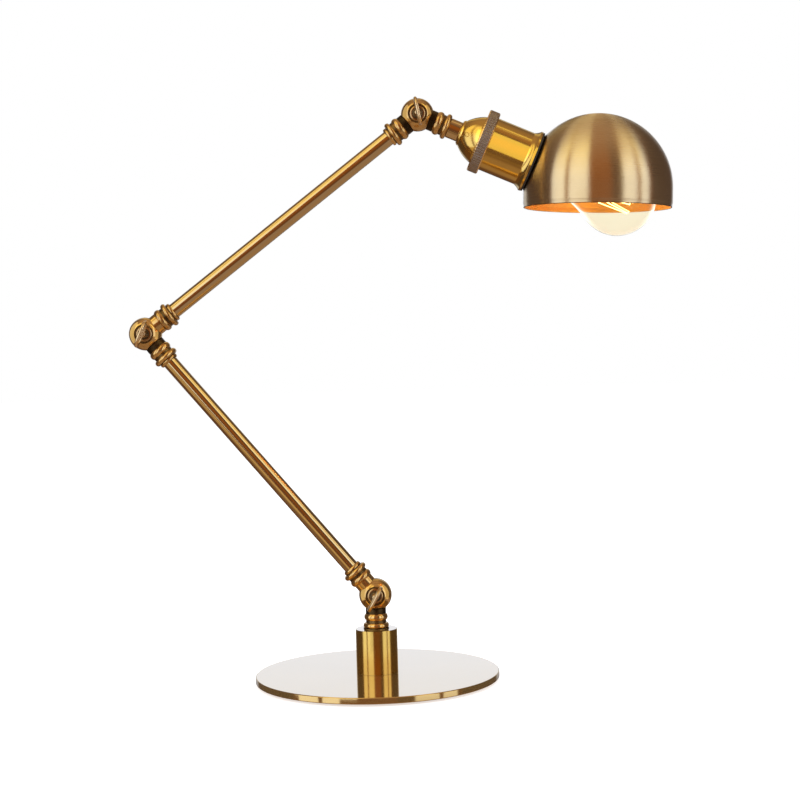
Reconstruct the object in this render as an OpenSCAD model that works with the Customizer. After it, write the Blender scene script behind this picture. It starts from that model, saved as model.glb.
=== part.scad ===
// Desk lamp with a dome shade, two arms on ball knuckles and a round base.
// Sizes are in millimetres. Z is up, and X runs from the base towards the shade.
// The origin is the centre of the base's underside.
// Each arm and the head are drawn along Z from their own pivot and then turned about Y.

/* [Pose] */
// Direction of the lower arm, measured up from level
lower_arm_angle = 129.69; // [100:1:150]
// Direction of the upper arm, measured up from level
upper_arm_angle = 37.15; // [25:1:45]
// Direction of the lampholder, measured up from level
head_angle = -23.72; // [-40:1:0]

/* [Base] */
// Radius of the base plate
plate_r = 89; // [70:1:120]
// Thickness of the base plate
plate_t = 4.7; // [4.5:0.1:9]
// Bevel on the base plate's edges
plate_bevel = 0.5; // [0.2:0.1:1.2]
// Thickness of the soft pad under the plate
pad_t = 1.8; // [1:0.1:4]
// How far the pad stays inside the plate's edge
pad_inset = 11; // [1:0.5:16]
// Radius of the stem
stem_r = 15.25; // [14.5:0.25:20]
// Height of the stem
stem_h = 32; // [31:1:60]
// Wall of the stem
stem_wall = 3; // [2:0.1:3.4]
// Thickness of the stem's closed top
stem_top_t = 4; // [3:0.1:5]
// Height of the threaded plug in the stem's foot
foot_h = 8; // [6:0.5:9]
// Thickness of the collar between the stem and the knuckle
collar_t = 0.6; // [0.4:0.1:2]
// Radius of that collar
collar_r = 9.3; // [8.8:0.1:12]

/* [Base bolt] */
// Radius of the bolt that holds the stem
bolt_r = 4; // [3:0.25:5]
// Radius of the bolt's round head
bolt_head_r = 7; // [6:0.25:9]
// Thickness of the bolt's head
bolt_head_t = 2; // [1.5:0.1:2.4]
// Radius of the washer under the head
bolt_washer_r = 9; // [8:0.25:11]
// Thickness of that washer
bolt_washer_t = 0.6; // [0.4:0.1:0.9]

/* [Cable bush] */
// Radius of the bush's bore, for a round mains lead
bush_bore_r = 3.25; // [2.5:0.05:3.6]
// Wall of the bush
bush_wall = 1.1; // [0.8:0.1:1.4]
// Radius of the bush's outer flange
bush_flange_r = 5.8; // [5.5:0.1:7]
// How far the flange stands out of the stem
bush_flange_t = 1.7; // [1:0.1:4]
// How far the bush reaches into the stem
bush_inner = 1; // [0.5:0.1:2]
// Height of the bush above the plate
bush_height = 14.5; // [14.2:0.1:17]

/* [Knuckles] */
// Radius of each ball
ball_r = 12; // [11.5:0.1:13]
// Gap between the two halves of a ball
ball_split = 0.6; // [0.4:0.05:0.8]
// Gap between a half ball and the other half's neck
ball_gap = 0.35; // [0.3:0.05:0.5]
// Radius of the neck next to the ball
neck_r = 7.4; // [7:0.1:8]
// Distance from the pivot to the end of the neck
neck_len = 24.3; // [24:0.1:28]
// Distance from the pivot to the inner bead
bead_start = 13.8; // [13.4:0.1:14.4]
// Width of the inner bead
inner_bead_w = 4.8; // [4:0.1:5.2]
// Height of the inner bead above the neck
inner_bead_rise = 1.2; // [0.6:0.1:1.4]
// Width of the outer bead
outer_bead_w = 4; // [3:0.1:4.4]
// Height of the outer bead above the neck
outer_bead_rise = 1.95; // [1:0.1:2.2]
// Depth of the socket that takes a tube or nipple
socket_depth = 7.5; // [6:0.5:9]
// Radius of the wire way through the neck
wire_way_r = 4.2; // [4:0.05:4.5]
// Radius of the boss round the screw inside the ball
boss_r = 4.6; // [4:0.1:4.9]
// Radius of the hollow round that boss
hollow_r = 9; // [8.7:0.1:9.4]
// Depth of that hollow
hollow_depth = 5; // [4.6:0.1:5.4]
// Radius of the spot face that the thumbscrew bears in
face_r = 6.75; // [6:0.1:7.2]
// Distance from the pivot to the floor of the spot face
face_depth = 8.5; // [8:0.1:9.2]

/* [Thumbscrews] */
// Radius of the shank
shank_r = 2; // [1.5:0.1:2.4]
// Depth of the shank in the rear half
shank_depth = 6; // [4:0.5:8]
// Radius of the round collar
screw_collar_r = 4; // [3.5:0.1:5]
// Length of the round collar
screw_collar_l = 3; // [2:0.1:5]
// Radius of the thin neck behind the loop
screw_neck_r = 2.6; // [2:0.1:3.2]
// Length of that neck
screw_neck_l = 3.4; // [2.5:0.1:6]
// Width of the loop over the wire
loop_w = 20.5; // [18:0.5:26]
// Depth of the loop over the wire
loop_d = 14.5; // [12:0.5:17]
// Radius of the loop's wire
loop_wire_r = 1.3; // [1:0.1:1.8]
// Thickness of the washer under the collar
face_washer_t = 0.8; // [0.5:0.1:1.2]
// Radius of the washer under the collar
face_washer_r = 6; // [5:0.1:6.5]
// Direction of the lowest loop
base_loop_angle = 59.7; // [0:1:180]
// Direction of the middle loop
elbow_loop_angle = 66.5; // [0:1:180]
// Direction of the top loop
head_loop_angle = 100.7; // [0:1:180]

/* [Arms] */
// Distance between the pivots of an arm
arm_len = 253; // [180:1:320]
// Radius of an arm's tube
tube_r = 5.5; // [5.2:0.1:6]
// Wall of an arm's tube
tube_wall = 1; // [0.8:0.1:1.1]
// Length of the ferrule at each end of a tube
ferrule_l = 2.6; // [2:0.1:6]
// Radius of the ferrule
ferrule_r = 7.2; // [6.8:0.1:8.5]
// Width of the groove between ferrule and knuckle
ferrule_groove = 0.5; // [0.3:0.1:1]
// Radius of the inner lead
lead_r = 1.7; // [1.2:0.05:1.75]

/* [Nipples] */
// Radius of the hollow threaded nipples
nipple_r = 5; // [4.8:0.05:5.2]
// Wall of the nipples
nipple_wall = 1; // [0.8:0.05:1.05]
// Width over the flats of the nipple nuts
nut_flats = 14; // [12:0.5:15]
// Thickness of the nipple nuts
nut_t = 3; // [2:0.1:3.4]

/* [Lampholder] */
// Length of the coupler between knuckle and cap
coupler_l = 8.5; // [6:0.5:16]
// Radius of the coupler
coupler_r = 7.2; // [6.6:0.1:9]
// Radius of the cap where it meets the coupler
cap_foot_r = 7.8; // [7.8:0.1:8.4]
// Radius of the cap's small shoulder
cap_shoulder_r = 9.5; // [9:0.1:11]
// Height of that shoulder
cap_shoulder_h = 2.1; // [1.5:0.1:3]
// Height of the cap above the knurled ring
cap_h = 14.9; // [14:0.1:20]
// Radius of the cap at the knurled ring
cap_r = 17.6; // [17.2:0.1:18.2]
// How far the cap bulges from a straight cone
cap_bulge = 1; // [0.5:0.1:2.5]
// Wall of the cap
cap_wall = 1; // [0.8:0.1:1.3]
// Radius of the knurled ring
ring_r = 23.3; // [22:0.1:26]
// Thickness of the knurled ring
ring_t = 8; // [7:0.1:12]
// Thickness of the ring's land on the cap
ring_land = 4.3; // [3:0.1:5]
// Number of knurls
knurl_count = 72; // [48:4:90]
// Depth of a knurl
knurl_depth = 0.5; // [0.3:0.1:0.8]
// Radius of the sleeve
sleeve_r = 19.75; // [19.4:0.05:20.5]
// Wall of the sleeve
sleeve_wall = 1; // [0.8:0.1:1.2]
// Length of the sleeve outside the ring
sleeve_l = 33.6; // [31:0.1:45]
// Radius of the flange at the sleeve's end
flange_r = 22.6; // [21.6:0.1:24]
// Length of the flared stretch before the flange
flare_l = 4.4; // [3:0.1:7]
// Length of the flange's straight edge
flange_l = 1.6; // [1:0.1:3]
// Thickness of the gasket
gasket_t = 1.4; // [0.8:0.1:3]
// Radius of the gasket
gasket_r = 22.3; // [21:0.1:24]
// Radius of the threaded nose that goes through the shade
nose_r = 16.9; // [16.3:0.1:17.4]
// How far the nose stands past the shade's nut
nose_out = 1.3; // [0.5:0.1:4]
// Thickness of the nut inside the shade
shade_nut_t = 5; // [3:0.1:8]
// Radius of that nut
shade_nut_r = 18.7; // [18:0.1:21.4]
// Radius of the hollow in the insulating core
core_hollow_r = 14.5; // [14.4:0.05:15]
// Wall of the threaded shell
shell_wall = 0.5; // [0.3:0.05:0.6]
// Depth of the hollow in the core
core_depth = 29; // [28:0.5:34]

/* [Shade] */
// Outer radius of the dome
shade_r = 54; // [52:1:70]
// Height of the straight skirt under the dome
skirt_h = 13.95; // [8:0.5:30]
// Wall of the shade
shade_wall = 1; // [0.7:0.1:1.4]
// Radius of the flat seat pressed into the dome
seat_r = 19.64; // [19.4:0.02:24]
// Angle from the lampholder's axis to the dome's downward axis
shade_angle = 68.25; // [60:1:90]

/* [Bulb] */
// Radius of the bulb's globe
bulb_r = 28.2; // [24:0.1:29]
// Length of the bulb
bulb_len = 113.8; // [100:0.1:116]
// Thickness of the glass
glass_t = 1; // [0.6:0.1:1.4]
// Radius of the glass neck
bulb_neck_r = 11.7; // [11:0.1:11.8]
// Outer radius of the bulb's thread
thread_r = 13.2; // [13:0.05:13.3]
// Depth of the bulb's thread
thread_depth = 0.9; // [0.5:0.05:1]
// Distance from one thread to the next
thread_pitch = 3.63; // [3:0.01:4]
// Number of threads on the bulb
thread_count = 5; // [4:1:6]
// Length of the glass that sits in the cap
glass_in_cap = 5; // [3:0.5:8]
// Radius of the tip contact
tip_r = 4.2; // [3.5:0.1:5]
// Thickness of the tip contact
tip_t = 1.2; // [0.8:0.1:2]
// Length of the black insulator
insulator_l = 2.6; // [2:0.1:4]
// Radius of the ring of filament legs
filament_ring_r = 9; // [6:0.5:12]
// Height of the filament legs
filament_h = 22; // [16:1:28]
// Number of filament legs
filament_legs = 12; // [8:2:16]
// Radius of the filament
filament_r = 0.35; // [0.25:0.05:0.5]

/* [Fits] */
// Radial clearance of pieces that screw or slide together
fit = 0.05; // [0.02:0.01:0.09]

/* [Hidden] */
$fn = 96;

// Sides of a ball half: the front one looks at the viewer, along -Y
FRONT = -1;
REAR = 1;
// How far a cutting shape reaches past what it cuts
past = 1;

// Heights in the base
plate_top = pad_t + plate_t;
stem_top = plate_top + stem_h;
base_pivot_z = stem_top + collar_t + neck_len;
bush_z = plate_top + bush_height;
stem_bore_r = stem_r - stem_wall;
stem_ceiling = stem_top - stem_top_t;
// The bolt's head lies in a pocket in the plate, just clear of the pad
head_clear = 0.2;
bolt_pocket = head_clear + bolt_head_t + bolt_washer_t;
bolt_end_short = 1;

// Pivots of the lamp
function towards(angle) = [cos(angle), 0, sin(angle)];
base_pivot = [0, 0, base_pivot_z];
elbow_pivot = base_pivot + arm_len * towards(lower_arm_angle);
head_pivot = elbow_pivot + arm_len * towards(upper_arm_angle);

// The lead lies in its own half of each ball
lead_side = ball_split / 2 + lead_r + 2 * fit;
lead_end = (boss_r + hollow_r) / 2;

// Places along the lampholder, from its pivot
cap_z = neck_len + coupler_l;
ring_z = cap_z + cap_h;
ring_step = ring_z + ring_land;
ring_end = ring_z + ring_t;
flange_end = ring_end + sleeve_l;
seat_z = flange_end + gasket_t;
shade_z = seat_z + sqrt(shade_r * shade_r - seat_r * seat_r);
shade_nut_z = seat_z + shade_wall;
nose_end = shade_nut_z + shade_nut_t + nose_out;
core_floor = nose_end - core_depth;
core_r = sleeve_r - sleeve_wall - 4 * fit;
core_shoulder = flange_end - flange_l;
contact_t = 1.9;
contact_r = 4;
rivet_r = 1.5;
rivet_l = 12;
terminal_r = 1.6;
terminal_head_r = 2.6;
terminal_head_t = 1.6;
terminal_l = 7;
terminal_offset = 9;
terminal_slot_w = 0.8;

// Places along the bulb, from the same pivot
tip_z = core_floor + contact_t + 2 * fit;
insulator_z = tip_z + tip_t;
bulb_cap_z = insulator_z + insulator_l;
thread_z = bulb_cap_z + thread_pitch / 2;
bulb_cap_end = thread_z + thread_count * thread_pitch + thread_pitch / 2;
glass_z = bulb_cap_end - glass_in_cap;
globe_z = tip_z + bulb_len - bulb_r;
cap_metal_t = 0.4;
// The neck's hollow curve meets the globe smoothly
neck_curve_z = bulb_cap_end + 2;
neck_curve_r = (pow(bulb_neck_r, 2) + pow(globe_z - neck_curve_z, 2) - pow(bulb_r, 2))
    / (2 * (bulb_r - bulb_neck_r));
neck_curve_c = [bulb_neck_r + neck_curve_r, neck_curve_z];
meet_angle = atan2(globe_z - neck_curve_z, -neck_curve_c.x);
mount_flare_r = bulb_neck_r - glass_t - fit;
mount_r = 4;
mount_flare_h = 8;
mount_below = 6;
mount_end = globe_z - filament_h / 2 - mount_below;
hub_h = 3;
hub_r = 2.8;
support_r = 0.5;

// Moves what is drawn along Z to a pivot and turns it to an angle
module at(pivot, angle) {
    translate(pivot) rotate([0, 90 - angle, 0]) children();
}

// A plain round bar along Z
module bar(r, from, to) {
    translate([0, 0, from]) cylinder(r = r, h = to - from);
}

// A tube along Z
module pipe(r, bore, from, to) {
    difference() {
        bar(r, from, to);
        bar(bore, from - past, to + past);
    }
}

// Turns a shape that is drawn along Z to lie along the pivot, from the front to the rear
module along_pivot() {
    rotate([-90, 0, 0]) children();
}

// Points of an arc from p to q that stands out by rise from the line between them
function arc(p, q, rise, n = 6) =
    let (
        line = q - p,
        l = norm(line),
        r = (l * l / 4 + rise * rise) / (2 * rise),
        c = (p + q) / 2 + (r - rise) * [-line.y, line.x] / l,
        a = atan2(p.y - c.y, p.x - c.x),
        b = atan2(q.y - c.y, q.x - c.x),
        turn = b - a > 180 ? b - a - 360 : b - a < -180 ? b - a + 360 : b - a
    )
    [for (i = [0 : n]) c + abs(r) * [cos(a + turn * i / n), sin(a + turn * i / n)]];

// Points of a circle about c, from angle a to angle b
function sweep(c, r, a, b, n) = [for (i = [0 : n]) let (t = a + (b - a) * i / n) c + r * [cos(t), sin(t)]];

// Keeps only one side of the split through the balls
module half_space(side, from, reach) {
    translate([-reach, side > 0 ? from : -from - reach, -reach]) cube([2 * reach, reach, 2 * reach]);
}

// Way for the shank through what it clamps, and how much deeper its hole is than the shank
shank_way_r = shank_r + 2 * fit;
drill_over = 1;

// Outline of a neck with its two beads, from inside the ball. The outer one ends in a small lip.
neck_foot = 7;
outer_bead_lip = 0.5;
inner_bead_end = bead_start + inner_bead_w;
outer_bead_start = neck_len - outer_bead_w;
outer_bead_end = [neck_r + outer_bead_lip, neck_len];
neck_outline = concat(
    [[0, neck_foot], [neck_r, neck_foot]],
    arc([neck_r, bead_start], [neck_r, inner_bead_end], inner_bead_rise),
    arc([neck_r, outer_bead_start], outer_bead_end, outer_bead_rise - outer_bead_lip / 2),
    [[0, neck_len]]
);

// Half a ball with its neck along Z. The socket takes a tube or a nipple of radius held_r.
module knuckle(side, held_r) {
    face = ball_split / 2;
    hollow_end = face + hollow_depth;
    reach = 4 * ball_r;
    difference() {
        union() {
            intersection() {
                sphere(r = ball_r);
                half_space(side, face, reach);
            }
            difference() {
                rotate_extrude() polygon(neck_outline);
                intersection() {
                    sphere(r = ball_r + ball_gap);
                    half_space(-side, -face, reach);
                }
            }
        }
        // wire way and socket
        bar(wire_way_r, lead_end - lead_r, neck_len);
        bar(held_r + fit, neck_len - socket_depth, neck_len + past);
        // hollow round the screw's boss
        along_pivot() pipe(hollow_r, boss_r, min(0, side * hollow_end), max(0, side * hollow_end));
        if (side == FRONT) {
            along_pivot() bar(shank_way_r, -reach, 0);
            along_pivot() bar(face_r, -reach, -face_depth);
        } else {
            along_pivot() bar(shank_r + fit, 0, shank_depth + drill_over);
        }
    }
}

// Washer between the two halves of a ball
module friction_washer() {
    color("dimgray") along_pivot() pipe(boss_r, shank_way_r, -ball_split / 2, ball_split / 2);
}

// Washer in the spot face
module face_washer() {
    color("goldenrod") along_pivot()
        pipe(face_washer_r, shank_way_r, -face_depth - face_washer_t, -face_depth);
}

// Screw with a stepped collar and a loop of wire, its loop's long side along Z
module thumbscrew() {
    collar_from = face_depth + face_washer_t;
    neck_from = collar_from + screw_collar_l;
    bend_r = loop_d / 2 - loop_wire_r;
    loop_y = neck_from + screw_neck_l + loop_wire_r + bend_r;
    straight = (loop_w - loop_d) / 2;
    color("darkgoldenrod") {
        along_pivot() {
            bar(shank_r, -collar_from, shank_depth);
            bar(screw_collar_r, -neck_from, -collar_from);
            bar(screw_neck_r, bend_r - loop_y, -neck_from);
        }
        for (end = [0, 180])
            translate([0, -loop_y, 0]) rotate([end, 0, 0]) {
                translate([0, 0, straight]) rotate([90, 0, 90])
                    rotate_extrude(angle = 180) translate([bend_r, 0]) circle(r = loop_wire_r);
                translate([0, bend_r, 0]) bar(loop_wire_r, -straight, straight);
            }
    }
}

// Tube of an arm, from socket to socket
module arm_tube() {
    end = neck_len - socket_depth;
    color("goldenrod") pipe(tube_r, tube_r - tube_wall, end, arm_len - end);
}

// One ferrule, with the groove on its knuckle side
module ferrule() {
    edge = 0.8;
    groove_r = ferrule_r - 0.6;
    color("darkgoldenrod") difference() {
        rotate_extrude() polygon([
            [0, neck_len], [groove_r, neck_len], [groove_r, neck_len + ferrule_groove],
            [ferrule_r, neck_len + ferrule_groove], [ferrule_r, neck_len + ferrule_l - edge],
            [ferrule_r - edge, neck_len + ferrule_l], [0, neck_len + ferrule_l]
        ]);
        bar(tube_r + fit, neck_len - past, neck_len + ferrule_l + past);
    }
}

module ferrules() {
    ferrule();
    translate([0, 0, arm_len]) mirror([0, 0, 1]) ferrule();
}

// Straight lead in the plane of Y and Z, from [y, z] to [y, z]
module lead_run(from, to) {
    step = to - from;
    translate([0, from.x, from.y]) rotate([-atan2(step.x, step.y), 0, 0])
        cylinder(r = lead_r, h = norm(step));
}

// The lead crosses from the front half at one ball to the rear half at the next
module arm_lead() {
    color("saddlebrown") lead_run([-lead_side, lead_end], [lead_side, arm_len - lead_end]);
}

module hex_nut(from, to) {
    difference() {
        translate([0, 0, from]) cylinder(r = nut_flats / sqrt(3), h = to - from, $fn = 6);
        bar(nipple_r + fit, from - past, to + past);
    }
}

module base_plate() {
    color("goldenrod") difference() {
        rotate_extrude() polygon([
            [0, pad_t], [plate_r - plate_bevel, pad_t], [plate_r, pad_t + plate_bevel],
            [plate_r, plate_top - plate_bevel], [plate_r - plate_bevel, plate_top], [0, plate_top]
        ]);
        bar(bolt_r + 2 * fit, 0, plate_top + past);
        bar(bolt_washer_r + 4 * fit, pad_t - past, pad_t + bolt_pocket);
    }
}

module base_pad() {
    color("dimgray") bar(plate_r - pad_inset, 0, pad_t);
}

module base_stem() {
    color("goldenrod") difference() {
        bar(stem_r, plate_top, stem_top);
        bar(stem_bore_r, plate_top - past, stem_ceiling);
        bar(nipple_r + fit, stem_ceiling - past, stem_top + past);
        translate([0, 0, bush_z]) along_pivot() bar(bush_bore_r + bush_wall + fit, 0, stem_r + past);
    }
}

module stem_foot() {
    color("gray") pipe(stem_bore_r - fit, bolt_r + fit, plate_top, plate_top + foot_h);
}

module base_bolt() {
    head_z = pad_t + head_clear;
    key_r = 0.7 * bolt_r;
    key_depth = 0.6 * bolt_head_t;
    color("silver") {
        difference() {
            bar(bolt_head_r, head_z, head_z + bolt_head_t);
            translate([0, 0, head_z - past]) cylinder(r = key_r, h = past + key_depth, $fn = 6);
        }
        bar(bolt_r, head_z + bolt_head_t, plate_top + foot_h - bolt_end_short);
    }
}

module base_washer() {
    top = pad_t + bolt_pocket;
    color("silver") pipe(bolt_washer_r, bolt_r + 2 * fit, top - bolt_washer_t, top);
}

module cable_bush() {
    color("black") translate([0, 0, bush_z]) difference() {
        along_pivot() union() {
            bar(bush_bore_r + bush_wall, stem_bore_r - bush_inner, stem_r + bush_flange_t);
            bar(bush_flange_r, stem_bore_r, stem_r + bush_flange_t);
        }
        along_pivot() bar(bush_bore_r, 0, stem_r + bush_flange_t + past);
        // the flange hugs the round stem
        difference() {
            bar(stem_r, -bush_flange_r - past, bush_flange_r + past);
            along_pivot() bar(bush_bore_r + bush_wall, 0, stem_r + past);
        }
    }
}

module stem_nipple() {
    color("silver") pipe(nipple_r, nipple_r - nipple_wall, stem_ceiling - nut_t - past / 2,
        base_pivot_z - neck_len + socket_depth);
}

module stem_nut() {
    color("silver") hex_nut(stem_ceiling - nut_t, stem_ceiling);
}

module stem_collar() {
    color("darkgoldenrod") pipe(collar_r, nipple_r + fit, stem_top, stem_top + collar_t);
}

module base_knuckle() {
    color("darkgoldenrod") at(base_pivot, -90) knuckle(REAR, nipple_r);
}

// From the bush inwards, round a bend and up to the hollow of the ball
module base_lead() {
    bend_r = 6;
    bend_c = [lead_side + bend_r, bush_z + bend_r];
    color("saddlebrown") {
        lead_run([bend_c.x, bush_z], [stem_bore_r - bush_inner - 2 * fit, bush_z]);
        translate([0, bend_c.x, bend_c.y]) rotate([90, 0, 90]) rotate([0, 0, 180])
            rotate_extrude(angle = 90) translate([bend_r, 0]) circle(r = lead_r);
        lead_run([lead_side, bend_c.y], [lead_side, base_pivot_z - lead_end]);
    }
}

module lower_knuckle() {
    color("goldenrod") at(base_pivot, lower_arm_angle) knuckle(FRONT, tube_r);
}

module base_face_washer() {
    at(base_pivot, lower_arm_angle) face_washer();
}

module base_friction_washer() {
    at(base_pivot, -90) friction_washer();
}

module lower_tube() {
    at(base_pivot, lower_arm_angle) arm_tube();
}

module lower_ferrules() {
    at(base_pivot, lower_arm_angle) ferrules();
}

module lower_lead() {
    at(base_pivot, lower_arm_angle) arm_lead();
}

module elbow_knuckle() {
    color("darkgoldenrod") at(elbow_pivot, lower_arm_angle + 180) knuckle(REAR, tube_r);
}

module elbow_friction_washer() {
    at(elbow_pivot, lower_arm_angle) friction_washer();
}

module upper_knuckle() {
    color("goldenrod") at(elbow_pivot, upper_arm_angle) knuckle(FRONT, tube_r);
}

module elbow_face_washer() {
    at(elbow_pivot, upper_arm_angle) face_washer();
}

module upper_tube() {
    at(elbow_pivot, upper_arm_angle) arm_tube();
}

module upper_ferrules() {
    at(elbow_pivot, upper_arm_angle) ferrules();
}

module upper_lead() {
    at(elbow_pivot, upper_arm_angle) arm_lead();
}

module head_knuckle() {
    color("darkgoldenrod") at(head_pivot, upper_arm_angle + 180) knuckle(REAR, tube_r);
}

module head_friction_washer() {
    at(head_pivot, upper_arm_angle) friction_washer();
}

module holder_knuckle() {
    color("goldenrod") at(head_pivot, head_angle) knuckle(FRONT, nipple_r);
}

module head_face_washer() {
    at(head_pivot, head_angle) face_washer();
}

module holder_coupler() {
    color("goldenrod") at(head_pivot, head_angle) pipe(coupler_r, nipple_r + fit, neck_len, cap_z);
}

module holder_nipple() {
    color("silver") at(head_pivot, head_angle)
        pipe(nipple_r, nipple_r - nipple_wall, neck_len - socket_depth, cap_z + cap_wall + nut_t + past / 2);
}

module holder_nut() {
    color("silver") at(head_pivot, head_angle) hex_nut(cap_z + cap_wall, cap_z + cap_wall + nut_t);
}

// Outline of the cap, drawn in by inset for its inside.
// The shares keep the wall even round the corners.
shoulder_rise = 0.4;
foot_share = 0.4;
shoulder_share = 0.6;
bulge_share = [0.8, 0.9];
function cap_outline(inset) = concat(
    [[0, cap_z + inset]],
    arc([cap_foot_r + inset * foot_share, cap_z + inset],
        [cap_shoulder_r - inset, cap_z + cap_shoulder_h + inset * shoulder_share], shoulder_rise, 4),
    arc([cap_shoulder_r - inset * bulge_share.x, cap_z + cap_shoulder_h + inset * bulge_share.y],
        [cap_r - inset, ring_z], cap_bulge, 10)
);

module holder_cap() {
    color("goldenrod") at(head_pivot, head_angle) difference() {
        rotate_extrude() polygon(concat(cap_outline(0), [[cap_r, ring_step], [0, ring_step]]));
        rotate_extrude() polygon(concat(cap_outline(cap_wall),
            [[cap_r - cap_wall, ring_step + past], [0, ring_step + past]]));
        bar(nipple_r + fit, cap_z - past, cap_z + cap_wall + past);
    }
}

module knurled_ring() {
    outline = [for (i = [0 : 2 * knurl_count - 1])
        let (r = ring_r - (i % 2) * knurl_depth, a = i * 180 / knurl_count) r * [cos(a), sin(a)]];
    color("rosybrown") at(head_pivot, head_angle) difference() {
        translate([0, 0, ring_z]) linear_extrude(height = ring_t) polygon(outline);
        bar(cap_r + fit, ring_z - past, ring_end + past);
        bar(sleeve_r + fit, ring_step, ring_end + past);
    }
}

// Outline of the sleeve's outside, drawn in by inset for its inside. It flares in a shallow hollow curve.
flare_hollow = 0.35;
flange_z = flange_end - flange_l;
function sleeve_outline(inset) = concat(
    [[0, ring_step], [sleeve_r - inset, ring_step]],
    arc([sleeve_r - inset, flange_z - flare_l + inset / 2], [flange_r - inset, flange_z], -flare_hollow),
    [[flange_r - inset, flange_end], [0, flange_end]]
);

module holder_sleeve() {
    color("goldenrod") at(head_pivot, head_angle) difference() {
        rotate_extrude() polygon(sleeve_outline(0));
        translate([0, 0, -past]) bar(sleeve_r - sleeve_wall, ring_step, ring_step + 2 * past);
        rotate_extrude() polygon(sleeve_outline(sleeve_wall));
        bar(flange_r - sleeve_wall, flange_end - past / 2, flange_end + past);
    }
}

module holder_gasket() {
    color("black") at(head_pivot, head_angle) pipe(gasket_r, nose_r + fit, flange_end, seat_z);
}

module holder_core() {
    color("ivory") at(head_pivot, head_angle) difference() {
        union() {
            bar(core_r, ring_step, core_shoulder);
            bar(nose_r, core_shoulder, nose_end);
        }
        bar(core_hollow_r, core_floor, nose_end + past);
        bar(rivet_r + fit, ring_step - past, core_floor + past);
        for (side = [-1, 1])
            translate([side * terminal_offset, 0, 0])
                bar(terminal_r + fit, ring_step - past, ring_step + terminal_l + past / 2);
    }
}

// Waves of a round thread from z, about radius r
function waves(r, depth, z, count) = [
    for (i = [0 : 6 * count]) [r - depth / 2 - depth / 2 * cos(i * 60), z + i * thread_pitch / 6]
];

module screw_shell() {
    gap = core_hollow_r - fit - shell_wall - thread_r;
    color("gold") at(head_pivot, head_angle) difference() {
        bar(core_hollow_r - fit, core_floor, nose_end - fit);
        rotate_extrude() polygon(concat(
            [[0, core_floor - past], [thread_r + gap, core_floor - past]],
            waves(thread_r + gap, thread_depth, thread_z, thread_count),
            [[thread_r + gap, nose_end + past], [0, nose_end + past]]
        ));
    }
}

module centre_contact() {
    color("gold") at(head_pivot, head_angle) {
        bar(contact_r, core_floor, core_floor + contact_t);
        bar(rivet_r, core_floor - rivet_l, core_floor);
    }
}

module terminal_screws() {
    color("gold") at(head_pivot, head_angle)
        for (side = [-1, 1])
            translate([side * terminal_offset, 0, 0]) difference() {
                union() {
                    bar(terminal_head_r, ring_step - terminal_head_t, ring_step);
                    bar(terminal_r, ring_step, ring_step + terminal_l);
                }
                translate([-terminal_head_r, -terminal_slot_w / 2, ring_step - terminal_head_t - past])
                    cube([2 * terminal_head_r, terminal_slot_w, past + terminal_head_t / 2]);
            }
}

module shade_nut() {
    color("dimgray") at(head_pivot, head_angle)
        pipe(shade_nut_r, nose_r + fit, shade_nut_z, shade_nut_z + shade_nut_t);
}

// The dome and its skirt as one full shape, drawn in by inset and cut flat at the seat
module shade_form(inset, skirt) {
    r = shade_r - inset;
    intersection() {
        translate([0, 0, shade_z]) rotate([0, shade_angle, 0]) {
            intersection() {
                sphere(r = r);
                translate([-r, -r, -2 * r]) cube([2 * r, 2 * r, 2 * r]);
            }
            cylinder(r = r, h = skirt);
        }
        translate([-2 * shade_r, -2 * shade_r, seat_z + inset]) cube(4 * shade_r);
    }
}

module dome_shade() {
    color("peru") at(head_pivot, head_angle) difference() {
        shade_form(0, skirt_h);
        shade_form(shade_wall, skirt_h + past);
        bar(nose_r + fit, seat_z - past, seat_z + shade_wall + past);
    }
}

module head_lead() {
    color("saddlebrown") at(head_pivot, head_angle)
        lead_run([-lead_side, lead_end], [0, ring_step - 2 * fit]);
}

// Outline of the glass, drawn in by inset for its inside
function glass_outline(inset) = concat(
    [[0, glass_z], [bulb_neck_r - inset, glass_z]],
    sweep(neck_curve_c, neck_curve_r + inset, 180, meet_angle, 10),
    sweep([0, globe_z], bulb_r - inset, meet_angle - 180, 90, 20)
);

module bulb_glass() {
    color("ivory", 0.4) at(head_pivot, head_angle) difference() {
        rotate_extrude() polygon(glass_outline(0));
        rotate_extrude() polygon(glass_outline(glass_t));
        bar(bulb_neck_r - glass_t, glass_z - past, glass_z + past);
    }
}

module bulb_cap() {
    end = thread_z + thread_count * thread_pitch;
    outline = function (inset) concat(
        [[thread_r - thread_depth - inset, bulb_cap_z]],
        waves(thread_r - inset, thread_depth, thread_z, thread_count),
        [[thread_r - thread_depth - inset, bulb_cap_end]]
    );
    color("gold") at(head_pivot, head_angle) difference() {
        rotate_extrude() polygon(concat([[0, bulb_cap_z]], outline(0), [[0, bulb_cap_end]]));
        bar(thread_r - thread_depth - cap_metal_t, bulb_cap_z + cap_metal_t, glass_z);
        bar(bulb_neck_r + fit, glass_z, bulb_cap_end + past);
        bar(tip_r, bulb_cap_z - past, end);
    }
}

module bulb_insulator() {
    color("black") at(head_pivot, head_angle) translate([0, 0, insulator_z])
        cylinder(r1 = tip_r + 1, r2 = thread_r - thread_depth - cap_metal_t, h = insulator_l);
}

module bulb_tip() {
    color("gold") at(head_pivot, head_angle) bar(tip_r, tip_z, insulator_z);
}

module bulb_mount() {
    color("white", 0.5) at(head_pivot, head_angle) {
        translate([0, 0, glass_z]) cylinder(r1 = mount_flare_r, r2 = mount_r, h = mount_flare_h);
        bar(mount_r, glass_z + mount_flare_h, mount_end);
        bar(hub_r - support_r, mount_end, mount_end + hub_h);
    }
}

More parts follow.
